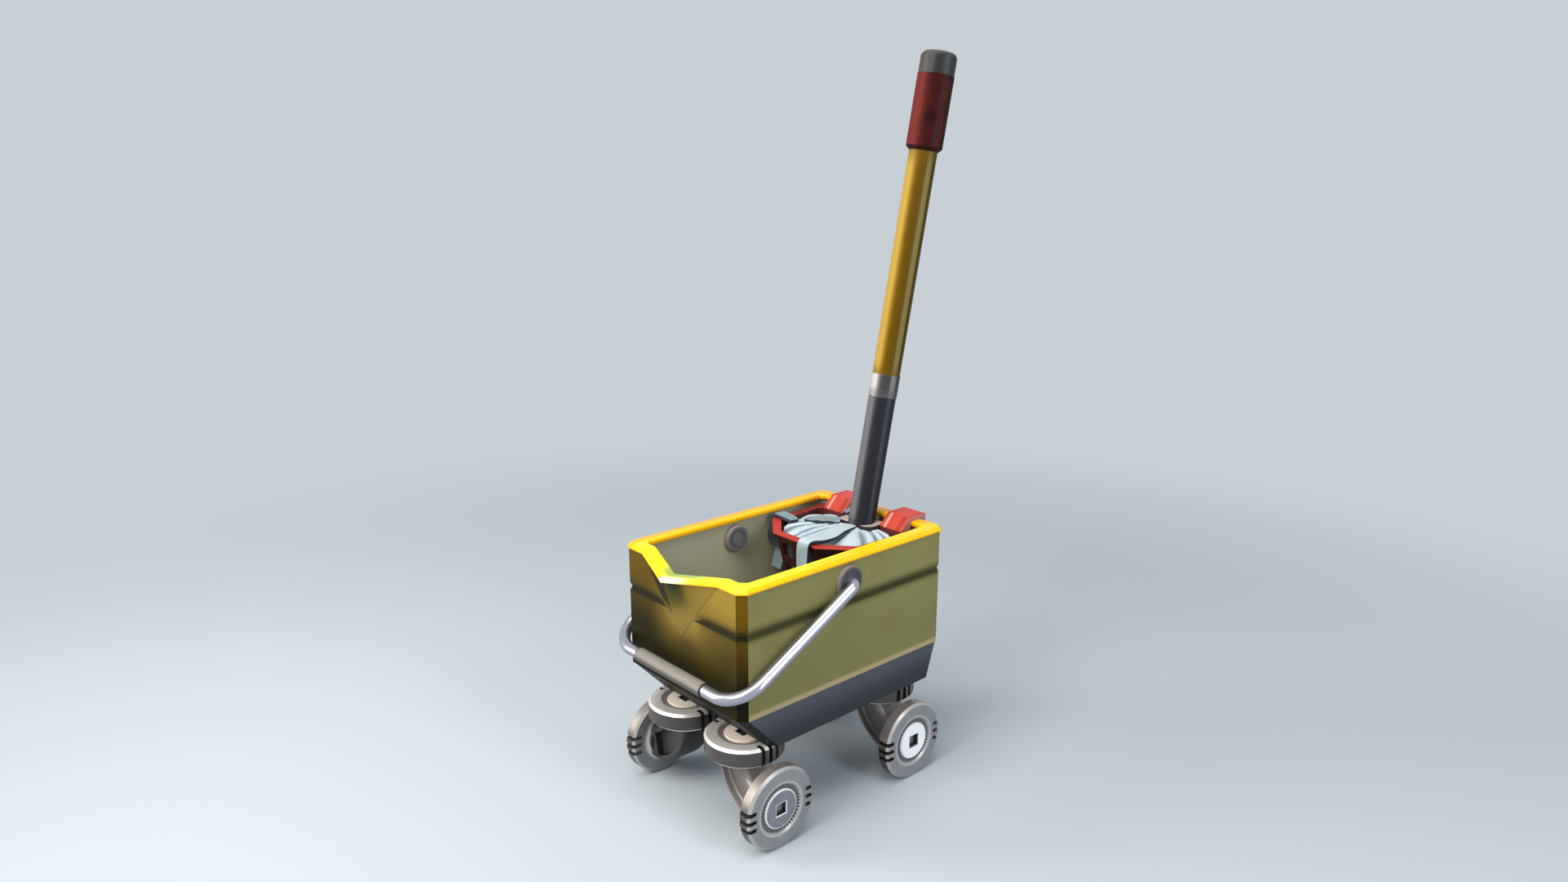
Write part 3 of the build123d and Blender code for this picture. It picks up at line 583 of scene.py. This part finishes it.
discCap = capFinish("discCapCream", True, discCapLook)
discCap.coat(*[f"disc_cap_{end}" for end in ends])
whiteCap = capFinish("wheelCapWhite", False, whiteCapLook)
whiteCap.coat("wheel_cap_back_right", "wheel_cap_back_left")
slateCap = capFinish("wheelCapSlate", False, slateCapLook)
slateCap.coat("wheel_cap_front_right", "wheel_cap_front_left")

# swivel arms: grey-brown casting, lit on the right, painted shade darkening it on the left, in front and
# underneath
armLook = {
    "right": tone(166, 157, 151),
    "rightPatch": tone(138, 130, 125),
    "left": tone(50, 48, 50),
    "leftPatch": tone(38, 37, 39),
    "under": tone(84, 78, 76),
    "front": tone(92, 90, 92),
}
arm = Finish("armSlate", {"Specular IOR Level": 0.5})
x, _, _ = arm.at()
_, faceY, faceZ = arm.facing()
patch = arm.noise(48.0, 4.0)
# painted light and shade: the right arms lit, the left arms in shade
colour = arm.blend(patch, armLook["right"], armLook["rightPatch"])
leftColour = arm.blend(patch, armLook["left"], armLook["leftPatch"])
colour = arm.blend(arm.step(x, 0.0, -0.01), colour, leftColour)
# painted shade underneath and on the front faces
colour = arm.blend(arm.step(faceZ, -0.3, -0.95) * 0.6, colour, armLook["under"])
colour = arm.blend(arm.step(-faceY, 0.6, 0.95) * 0.5, colour, armLook["front"])
arm.send(
    colour=colour,
    metal=0.35 + patch * 0.1,
    rough=0.32 + patch * 0.2,
    normal=arm.bump(patch, 0.15, 0.0006),
)
arm.coat(*[f"swivel_arm_{end}" for end in ends])

# pins, screws and washers: plain turned steel
steelLook = {"pale": tone(168, 165, 162), "dull": tone(128, 125, 124)}
steel = Finish("pinSteel", {})
turned = steel.noise(260.0, 3.0, (1.0, 1.0, 0.2))
steel.send(
    colour=steel.blend(turned, steelLook["pale"], steelLook["dull"]),
    metal=0.85 + turned * 0.1,
    rough=0.28 + turned * 0.2,
    normal=steel.bump(turned, 0.06, 0.0003),
)
steel.coat("base_screws", "castor_screws", "thrust_washers", "hook_screws",
           *[f"{piece}_{end}" for piece in ("kingpin", "axle", "wheel_bush") for end in ends])
print("castors finished")

# wringer basket: red on its lit upper faces, painted shade making its sides dark red-brown and its inside
# duller
basketLook = {
    "top": tone(176, 50, 37),
    "side": tone(50, 20, 19),
    "inner": tone(98, 42, 44),
    "back": tone(124, 38, 33),
    "rubbed": tone(96, 36, 32),
    "middleY": 0.095,
}
basket = Finish("wringerRed", {"Specular IOR Level": 0.2})
x, y, z = basket.at()
faceX, faceY, faceZ = basket.facing()
y = y - tubY - basketLook["middleY"]
inward = faceX * x + faceY * y
rubbed = basket.noise(38.0, 4.0)
# painted shade: dark red-brown sides, a duller inside
colour = basket.blend(basket.step(inward, 0.01, -0.01), basketLook["side"], basketLook["inner"])
onLeft = basket.step(x, -0.074, -0.084) * basket.step(y, -0.035, -0.015)
farther = basket.most(basket.step(y, 0.0, 0.07), onLeft)
# painted light: red upper faces, darker towards the back
topColour = basket.blend(farther, basketLook["top"], basketLook["back"])
colour = basket.blend(basket.step(faceZ, 0.35, 0.7) * basket.step(z, 0.352, 0.362), colour, topColour)
colour = basket.blend(basket.step(rubbed, 0.5, 0.8) * 0.3, colour, basketLook["rubbed"])
grain = basket.noise(600.0, 2.0)
basket.send(colour=colour, rough=0.36 + rubbed * 0.18, normal=basket.bump(grain, 0.06))
basket.coat("wringer_ring", "wringer_cage", "wringer_floor")

# hooks: red tops, a slope duller with painted shade, a painted highlight line and a line of painted shade in
# a groove down it, pale sides
hookLook = {
    "top": tone(212, 64, 46),
    "topRubbed": tone(190, 52, 40),
    "slope": tone(190, 68, 51),
    "slopeRubbed": tone(172, 57, 43),
    "paleLine": tone(255, 150, 130),
    "paleAt": 0.0475,
    "darkLine": tone(150, 50, 38),
    "darkAt": 0.0735,
    "side": tone(150, 134, 136),
    "apart": 0.123,
}
hook = Finish("hookRed", {"Specular IOR Level": 0.25})
x, _, _ = hook.at()
faceX, faceY, faceZ = hook.facing()
rubbed = hook.noise(40.0, 4.0)
lowSlope = hook.step(-faceY, 0.3, 0.6) * hook.step(faceZ, 0.3, 0.6)
sideways = x + x.sum("LESS_THAN", x, 0.0) * hookLook["apart"]  # both hooks from the same left edge
colour = hook.blend(rubbed * 0.3, hookLook["top"], hookLook["topRubbed"])
# painted shade: the slope is duller than the top
slopeColour = hook.blend(rubbed * 0.3, hookLook["slope"], hookLook["slopeRubbed"])
# painted highlight line down the slope
paleLine = hook.step(abs(sideways - hookLook["paleAt"]), 0.0042, 0.0016)
slopeColour = hook.blend(paleLine, slopeColour, hookLook["paleLine"])
# painted shade in the groove line
darkLine = hook.step(abs(sideways - hookLook["darkAt"]), 0.0042, 0.0016)
slopeColour = hook.blend(darkLine * 0.8, slopeColour, hookLook["darkLine"])
colour = hook.blend(lowSlope, colour, slopeColour)
colour = hook.blend(hook.step(abs(faceX), 0.6, 0.9) * 0.8, colour, hookLook["side"])
hook.send(colour=colour, rough=0.3 + rubbed * 0.16, normal=hook.bump(hook.noise(600.0, 2.0), 0.05))
hook.coat("hook_right", "hook_left")
print("wringer finished")

# mop pole: turned along its leaning axis, from the flange to the end cap
poleLook = {
    "foot": (0.008, tubY + 0.146, 0.370),
    "axis": (0.0645, 0.1374, 0.9884),
    # painted shade for the dark right edge of each tube
    "edge": tone(18, 18, 14),
}


def upPole(finish):  # metres along the pole from its flange
    offset = finish.node("VectorMath", {"operation": "SUBTRACT"}, {0: finish.place(), 1: poleLook["foot"]})
    onAxis = {0: offset, 1: poleLook["axis"]}
    return finish.node("VectorMath", {"operation": "DOT_PRODUCT"}, onAxis, out="Value")


# painted light on each tube: a painted highlight in front, painted shade beside it, a thin painted
# reflection streak and painted shade on a black edge at the right
def poleTones(finish, plain, dark, look):
    faceX, faceY, _ = finish.facing()
    inFront = finish.step(-faceY, 0.0, 0.3)
    # painted highlight on the front
    paleFront = finish.step(-faceY, 0.55, 0.95) * finish.step(faceX, 0.45, -0.02)
    colour = finish.blend(paleFront, plain, look["pale"])
    # painted shade beside it
    colour = finish.blend(inFront * finish.step(faceX, 0.0, 0.55), colour, dark)
    # painted reflection streak
    thinLine = finish.step(abs(faceY + 0.27), 0.22, 0.06) * finish.step(faceX, 0.8, 0.93)
    colour = finish.blend(thinLine * 0.85, colour, look["streak"])
    # painted shade on the right edge
    blackEdge = finish.step(faceX, 0.5, 0.75) * finish.step(faceY, -0.14, 0.12)
    return finish.blend(blackEdge * 0.85, colour, poleLook["edge"])


flangeLook = {"side": tone(36, 33, 32), "top": tone(186, 172, 158), "stain": tone(84, 76, 70)}
flange = Finish("flangeBrown", {"Specular IOR Level": 0.4})
_, _, faceZ = flange.facing()
stain = flange.noise(70.0, 4.0)
# painted light and shade: a lit pale top above sides in shade
colour = flange.blend(flange.step(faceZ, 0.6, 0.9), flangeLook["side"], flangeLook["top"])
colour = flange.blend(flange.step(stain, 0.45, 0.75) * 0.45, colour, flangeLook["stain"])
flange.send(colour=colour, rough=0.4 + stain * 0.2, normal=flange.bump(stain, 0.12, 0.0005))
flange.coat("mop_flange")

greyLook = {
    "plain": tone(46, 47, 52),
    "plainDrag": tone(58, 59, 64),
    "dark": tone(30, 31, 36),
    "darkDrag": tone(38, 39, 44),
    "pale": tone(104, 103, 107),
    "streak": tone(61, 66, 77),
    "foot": tone(36, 34, 36),
    "footFade": (0.012, 0.001),
}
tubeGrey = Finish("poleGrey", {"Specular IOR Level": 0.15})
drag = tubeGrey.noise(50.0, 4.0, (1.0, 1.0, 0.15))
up = upPole(tubeGrey)
plain = tubeGrey.blend(drag, greyLook["plain"], greyLook["plainDrag"])
dark = tubeGrey.blend(drag, greyLook["dark"], greyLook["darkDrag"])
colour = poleTones(tubeGrey, plain, dark, greyLook)
colour = tubeGrey.blend(tubeGrey.step(up, *greyLook["footFade"]) * 0.5, colour, greyLook["foot"])
tubeGrey.send(colour=colour, rough=0.38 + drag * 0.1, normal=tubeGrey.bump(drag, 0.03))
tubeGrey.coat("lower_tube")

ferruleLook = {
    "plain": tone(138, 136, 138),
    "plainSpun": tone(116, 115, 118),
    "dark": tone(62, 60, 60),
    "pale": tone(190, 186, 185),
    "streak": tone(128, 128, 132),
    "foot": tone(84, 84, 88),
    "footFade": (0.214, 0.204),
}
ferrule = Finish("ferruleMetal", {"Specular IOR Level": 0.25})
up = upPole(ferrule)
spun = ferrule.noise(300.0, 3.0, (0.2, 0.2, 1.0))
plain = ferrule.blend(spun * 0.4, ferruleLook["plain"], ferruleLook["plainSpun"])
colour = poleTones(ferrule, plain, ferruleLook["dark"], ferruleLook)
colour = ferrule.blend(ferrule.step(up, *ferruleLook["footFade"]) * 0.45, colour, ferruleLook["foot"])
ferrule.send(
    colour=colour,
    metal=0.12 + spun * 0.08,
    rough=0.36 + spun * 0.18,
    normal=ferrule.bump(spun, 0.05, 0.0003),
)
ferrule.coat("ferrule")

goldLook = {
    "plain": tone(176, 134, 20),
    "plainDrag": tone(152, 114, 12),
    "dark": tone(102, 73, 0),
    "darkDrag": tone(88, 63, 0),
    "pale": tone(180, 146, 60),
    "streak": tone(124, 120, 80),
    "foot": tone(104, 76, 14),
    "footFade": (0.25, 0.233),
    "head": tone(108, 78, 12),
    "headFade": (0.53, 0.557),
}
tubeGold = Finish("poleYellow", {"Specular IOR Level": 0.1})
up = upPole(tubeGold)
drag = tubeGold.noise(44.0, 4.0, (1.0, 1.0, 0.12))
plain = tubeGold.blend(drag, goldLook["plain"], goldLook["plainDrag"])
dark = tubeGold.blend(drag, goldLook["dark"], goldLook["darkDrag"])
colour = poleTones(tubeGold, plain, dark, goldLook)
colour = tubeGold.blend(tubeGold.step(up, *goldLook["footFade"]) * 0.5, colour, goldLook["foot"])
colour = tubeGold.blend(tubeGold.step(up, *goldLook["headFade"]) * 0.5, colour, goldLook["head"])
tubeGold.send(colour=colour, rough=0.38 + drag * 0.12, normal=tubeGold.bump(drag, 0.03))
tubeGold.coat("upper_tube")

redLook = {
    "plain": tone(112, 30, 22),
    "plainPatch": tone(80, 18, 13),
    "dark": tone(58, 10, 7),
    "darkPatch": tone(34, 7, 5),
    "pale": tone(106, 40, 34),
    "streak": tone(56, 34, 33),
    "foot": tone(50, 20, 20),
    "footFade": (0.5645, 0.5625),
}
handRed = Finish("gripRed", {"Specular IOR Level": 0.08})
up = upPole(handRed)
mottle = handRed.noise(46.0, 5.0)
patchy = handRed.step(mottle, 0.35, 0.7)
plain = handRed.blend(patchy, redLook["plain"], redLook["plainPatch"])
dark = handRed.blend(patchy, redLook["dark"], redLook["darkPatch"])
colour = poleTones(handRed, plain, dark, redLook)
colour = handRed.blend(handRed.step(up, *redLook["footFade"]), colour, redLook["foot"])
handRed.send(colour=colour, rough=0.46 + mottle * 0.2, normal=handRed.bump(mottle, 0.12, 0.0006))
handRed.coat("hand_grip")

endLook = {
    "plain": tone(58, 56, 52),
    "plainFade": tone(46, 44, 42),
    "dark": tone(28, 27, 24),
    "pale": tone(66, 62, 57),
    "streak": tone(60, 62, 66),
    "top": tone(112, 108, 104),
    "topFade": (0.688, 0.697),
}
capGrey = Finish("endCapGrey", {"Specular IOR Level": 0.3})
up = upPole(capGrey)
fade = capGrey.noise(60.0, 4.0)
plain = capGrey.blend(fade * 0.3, endLook["plain"], endLook["plainFade"])
colour = poleTones(capGrey, plain, endLook["dark"], endLook)
# painted highlight on the top of the end cap
colour = capGrey.blend(capGrey.step(up, *endLook["topFade"]) * 0.8, colour, endLook["top"])
capGrey.send(colour=colour, rough=0.34 + fade * 0.2, normal=capGrey.bump(fade, 0.08))
capGrey.coat("end_cap")
print("pole finished")

# mop head: a soft bundle in the basket, its folds running out from under the flange
headLook = {
    "low": [(0.024, 0.055), (0.044, 0.074), (0.050, 0.124), (0.040, 0.134)],
    "wide": [(0.0395, 0.0268), (0.0815, 0.0632), (0.0852, 0.1425), (0.0805, 0.1495)],
    "lowZ": 0.230,
    "wideZ": 0.352,
    "middle": (0.0, 0.100),
    "fan": (0.004, 0.150),
    "folds": 21,
    "depth": 0.0070,
    "segments": 320,
    "rings": 140,
    "slack": 0.985,
    "sway": 0.10,
    "flutter": 0.04,
    "twist": 3.5,
    "sharp": 1.6,
    # start and length of each gradual change, in metres
    "left": (-0.004, 0.03),
    "top": (0.350, 0.012),
    "spread": (0.022, 0.05),
    "shaded": (0.0, 0.003),
    "flange": {"x": 0.0044, "halfX": 0.0344, "y": 0.1485, "halfY": 0.0195, "under": 0.3605, "slope": 1.2},
    "profile": [(0.00, 0.00, 0.2350), (0.10, 0.72, 0.2335), (0.16, 0.96, 0.2400), (0.24, 1.0, 0.2600),
                (0.58, 1.0, 0.3430), (0.66, 1.0, 0.3560), (0.72, 0.985, 0.3622), (0.80, 0.93, 0.3654),
                (0.88, 0.74, 0.3672), (0.95, 0.40, 0.3676), (1.00, 0.00, 0.3676)],
}


def rise(value, start, length):  # 0 up to the start, 1 past the length
    return min(1.0, max(0.0, (value - start) / length))


def outlineReach(corners, angle):  # how far an eight-sided outline is from the middle of the head
    full = corners + [(-a, b) for a, b in reversed(corners)]
    aimX, aimY = math.cos(angle), math.sin(angle)
    best = 0.0
    for (ax, ay), (bx, by) in zip(full, full[1:] + full[:1]):
        ex, ey = bx - ax, by - ay
        under = aimX * ey - aimY * ex
        if abs(under) < 1e-9:
            continue
        far = ((ax - midX) * ey - (ay - midY) * ex) / under
        share = ((ax - midX) * aimY - (ay - midY) * aimX) / under
        if far > 0 and -1e-6 <= share <= 1 + 1e-6:
            best = max(best, far)
    return best


def softReach(corners, angle):  # the same with its corners rounded off
    turns = [math.radians(t) for t in (-12, -6, 0, 6, 12)]
    return sum(outlineReach(corners, angle + t) for t in turns) / len(turns)


def alongTable(table, at):  # a row between those of the table, eased a little
    for (t0, *low), (t1, *high) in zip(table, table[1:]):
        if at <= t1:
            share = (at - t0) / (t1 - t0)
            share = share * share * (3 - 2 * share) * 0.35 + share * 0.65
            return [a + (b - a) * share for a, b in zip(low, high)]
    return table[-1][1:]


bpy.ops.object.select_all(action="DESELECT")
bpy.ops.mesh.primitive_uv_sphere_add(segments=headLook["segments"], ring_count=headLook["rings"], radius=1.0)
head = bpy.context.object
head.name = "mopHead"
midX, midY = headLook["middle"]
flangeBox = headLook["flange"]
foldValues = []
reachCache = {}
for vertex in head.data.vertices:
    d = vertex.co.normalized()
    angle = math.atan2(d.y, d.x)
    share, z = alongTable(headLook["profile"], math.asin(max(-1.0, min(1.0, d.z))) / math.pi + 0.5)
    key = round(angle, 4)
    if key not in reachCache:
        reachCache[key] = (softReach(headLook["low"], angle), softReach(headLook["wide"], angle))
    low, wide = reachCache[key]
    up = rise(z, headLook["lowZ"], headLook["wideZ"] - headLook["lowZ"])
    reach = (low + (wide - low) * up) * share * headLook["slack"]
    px = midX + reach * math.cos(angle)
    py = midY + reach * math.sin(angle)
    fanX, fanY = px - headLook["fan"][0], py - headLook["fan"][1]
    fan = math.atan2(fanY, fanX)
    away = math.hypot(fanX, fanY)
    onLeft = rise(-px, *headLook["left"])
    warp = fan + headLook["sway"] * math.sin(3 * fan + 0.7)
    warp = warp + headLook["flutter"] * math.sin(7 * fan + away * 40) - away * headLook["twist"] * onLeft
    lobe = abs(math.sin(warp * headLook["folds"] / 2))
    crease = (1 - lobe) ** headLook["sharp"]
    # painted shade: one side of each lobe is darker
    slope = 0.5 + 0.5 * math.sin(warp * headLook["folds"] + 0.6)
    ply = (1 - abs(math.sin(warp * headLook["folds"] + 0.9))) ** 3 * onLeft
    onTop = rise(z, *headLook["top"])
    spread = rise(away, *headLook["spread"])
    swell = 0.6 + 0.4 * math.sin(5 * fan + 1.0) ** 2
    size = headLook["depth"] * spread * swell
    z = z - (crease * size + ply * size * 0.25) * onTop + (lobe - 0.6) * 0.0012 * onTop
    pull = 1 - crease * size * (1 - onTop * 0.6) / max(reach, 0.02) if share > 0.2 else 1.0
    px = midX + (px - midX) * pull
    py = midY + (py - midY) * pull
    besideX = abs(px - flangeBox["x"]) - flangeBox["halfX"]
    besideY = abs(py - flangeBox["y"]) - flangeBox["halfY"]
    z = min(z, flangeBox["under"] + max(0.0, besideX, besideY) * flangeBox["slope"])
    vertex.co = (px, py + tubY, z)
    # painted shade: the creases, folds and one side of each lobe darken the yarn
    foldValues.append((crease * 0.8 + slope * 0.2 + ply * 0.6) * rise(size, *headLook["shaded"]))
fold = head.data.attributes.new("fold", "FLOAT", "POINT")
fold.data.foreach_set("value", foldValues)
bpy.ops.object.shade_smooth()

yarnLook = {
    "plain": tone(202, 218, 224),
    "dull": tone(170, 188, 196),
    "crease": tone(96, 110, 116),
    "below": tone(34, 40, 53),
    "belowFrom": (0.358, 0.345),
}
yarn = Finish("yarnWhite", {"Sheen Weight": 0.3, "Sheen Roughness": 0.5, "Specular IOR Level": 0.35})
_, _, z = yarn.at()
creased = yarn.node("Attribute", {"attribute_name": "fold"}, {}, out="Fac")
fibre = yarn.noise(260.0, 4.0, (1.0, 1.0, 0.5))
soft = yarn.noise(24.0, 3.0)
colour = yarn.blend(soft, yarnLook["plain"], yarnLook["dull"])
# painted shade in the creases
colour = yarn.blend(yarn.step(creased, 0.1, 0.75) * 0.85, colour, yarnLook["crease"])
# painted shade: the yarn goes dark navy low down in the basket
colour = yarn.blend(yarn.step(z, *yarnLook["belowFrom"]) * 0.95, colour, yarnLook["below"])
yarn.send(colour=colour, rough=0.5 + fibre * 0.2, normal=yarn.bump(fibre, 0.18, 0.0008))
head.data.materials.append(yarn.material)
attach(head, "mop")
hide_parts("yarn_head")
print("mop head ready")

# loose strips: flat bands of cloth on the head, two of them hanging over the ring; lit tops, painted shade
# on their cut edges and where the left one hangs over the ring
clothLook = {
    "plain": tone(160, 177, 183),
    "dull": tone(130, 147, 153),
    "topLeft": tone(112, 129, 133),
    "topRight": tone(178, 193, 199),
    "overEdge": tone(56, 68, 78),
    "cut": tone(36, 46, 58),
    "cutPale": tone(54, 64, 78),
}
stripFace = Finish("stripBlue", {"Sheen Weight": 0.25, "Specular IOR Level": 0.35})
x, _, z = stripFace.at()
_, _, faceZ = stripFace.facing()
weave = stripFace.noise(420.0, 3.0)
soft = stripFace.noise(40.0, 3.0)
colour = stripFace.blend(soft, clothLook["plain"], clothLook["dull"])
# painted light: lit tops, darker to the left
topColour = stripFace.blend(stripFace.step(x, -0.020, -0.006), clothLook["topLeft"], clothLook["topRight"])
colour = stripFace.blend(stripFace.step(faceZ, 0.4, 0.8) * 0.9, colour, topColour)
# painted shade where the left strip hangs over the ring
overEdge = stripFace.step(x, -0.098, -0.103) * stripFace.step(z, 0.312, 0.322)
colour = stripFace.blend(overEdge * 0.85, colour, clothLook["overEdge"])
stripFace.send(colour=colour, rough=0.5 + weave * 0.2, normal=stripFace.bump(weave, 0.2, 0.0006))
stripEdge = Finish("stripEdge", {"Specular IOR Level": 0.3})
weave = stripEdge.noise(420.0, 3.0)
# painted shade on the cut edges of the strips
stripEdge.send(
    colour=stripEdge.blend(weave, clothLook["cut"], clothLook["cutPale"]),
    rough=0.55 + weave * 0.2,
    normal=stripEdge.bump(weave, 0.2, 0.0006),
)

stripLook = {
    "crown": 0.003,
    "ripple": 0.0004,
    "softEdge": 0.0007,
    "lengthSteps": 200,
    "nearby": 0.01,
    "strips": {
        # name: thickness, centre points, direction across at each, width at each
        "stripLeft": {
            "thick": 0.0052,
            "line": [(-0.064, 0.071, 0.3692), (-0.075, 0.071, 0.3712), (-0.088, 0.070, 0.3730),
                     (-0.0995, 0.069, 0.3722), (-0.1050, 0.067, 0.3560), (-0.1065, 0.065, 0.3400),
                     (-0.1060, 0.069, 0.3240), (-0.1080, 0.081, 0.3090), (-0.1085, 0.078, 0.2950),
                     (-0.1095, 0.073, 0.2800)],
            "across": [(0.1, 1, 0), (0, 1, 0), (0, 1, 0), (0, 1, 0), (0, 1, 0), (0, 1, 0),
                       (0.3, 1, -0.1), (0.75, 0.65, -0.4), (0.75, 0.6, -0.45), (0.75, 0.6, -0.45)],
            "wide": [0.017, 0.019, 0.020, 0.020, 0.020, 0.020, 0.019, 0.017, 0.017, 0.017],
        },
        "stripFront": {
            "thick": 0.0052,
            "line": [(0.008, 0.122, 0.3672), (0.015, 0.090, 0.3694), (0.027, 0.058, 0.3696),
                     (0.0295, 0.036, 0.3716), (0.0270, 0.0150, 0.3734), (0.0262, 0.0068, 0.3690),
                     (0.0258, 0.0060, 0.3520), (0.0250, 0.0062, 0.3250)],
            "across": [(1, 0.1, 0), (1, 0.35, 0), (1, 0.2, 0), (1, -0.05, 0),
                       (1, 0, 0), (1, 0, 0), (1, 0, 0), (1, 0, 0)],
            "wide": [0.022, 0.024, 0.024, 0.023, 0.023, 0.022, 0.022, 0.021],
        },
        "stripFold": {
            "thick": 0.0048,
            "line": [(-0.018, 0.126, 0.3676), (-0.034, 0.113, 0.3694), (-0.047, 0.102, 0.3694),
                     (-0.061, 0.091, 0.3674)],
            "across": [(0.6, -0.8, 0)] * 4,
            "wide": [0.020, 0.027, 0.026, 0.010],
        },
        "stripBack": {
            "thick": 0.0034,
            "line": [(-0.031, 0.150, 0.3733), (-0.031, 0.157, 0.3742), (-0.031, 0.163, 0.3760),
                     (-0.031, 0.169, 0.3788)],
            "across": [(1, 0, 0)] * 4,
            "wide": [0.011, 0.012, 0.012, 0.012],
        },
    },
}


def smoothAt(points, share):  # a point on a smooth line through the given ones
    spot = share * (len(points) - 1)
    i = min(int(spot), len(points) - 2)
    t = spot - i
    p = [Vector(points[min(max(k, 0), len(points) - 1)]) for k in (i - 1, i, i + 1, i + 2)]
    return 0.5 * (2 * p[1] + (p[2] - p[0]) * t + (2 * p[0] - 5 * p[1] + 4 * p[2] - p[3]) * t * t
                  + (3 * p[1] - p[0] - 3 * p[2] + p[3]) * t * t * t)


def makeStrip(name, look):
    bpy.ops.object.select_all(action="DESELECT")
    bpy.ops.mesh.primitive_grid_add(x_subdivisions=6, y_subdivisions=48, size=1.0)
    strip = bpy.context.object
    strip.name = name
    widths = [(w, 0, 0) for w in look["wide"]]
    steps = stripLook["lengthSteps"]
    run = [smoothAt(look["line"], k / steps) for k in range(steps + 1)]
    length = sum((b - a).length for a, b in zip(run, run[1:]))
    for vertex in strip.data.vertices:
        share = vertex.co.y + 0.5
        centre = smoothAt(look["line"], share)
        after = smoothAt(look["line"], min(share + stripLook["nearby"], 1))
        before = smoothAt(look["line"], max(share - stripLook["nearby"], 0))
        ahead = (after - before).normalized()
        across = smoothAt(look["across"], share).normalized()
        lift = across.cross(ahead).normalized()
        width = smoothAt(widths, share).x
        crown = (0.25 - vertex.co.x ** 2) * stripLook["crown"]
        ripple = stripLook["ripple"] * math.sin(share * 19 + vertex.co.x * 5)
        vertex.co = centre + across * vertex.co.x * width - lift * (crown + ripple) + Vector((0, tubY, 0))
    strip.data.materials.append(stripFace.material)
    strip.data.materials.append(stripEdge.material)
    thicken = strip.modifiers.new("thicken", "SOLIDIFY")
    thicken.thickness = look["thick"]
    thicken.offset = 0
    thicken.material_offset_rim = 1
    bpy.ops.object.modifier_apply(modifier="thicken")
    soften = strip.modifiers.new("soften", "BEVEL")
    soften.width = stripLook["softEdge"]
    soften.segments = 2
    soften.limit_method = "ANGLE"
    soften.angle_limit = math.radians(50)
    bpy.ops.object.modifier_apply(modifier="soften")
    bpy.ops.object.shade_smooth_by_angle(angle=math.radians(45))
    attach(strip, "mop")
    meanWidth = sum(look["wide"]) / len(look["wide"])
    return strip


strips = [makeStrip(name, look) for name, look in stripLook["strips"].items()]
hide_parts("mop_strips")
print("strips ready:", len(strips))
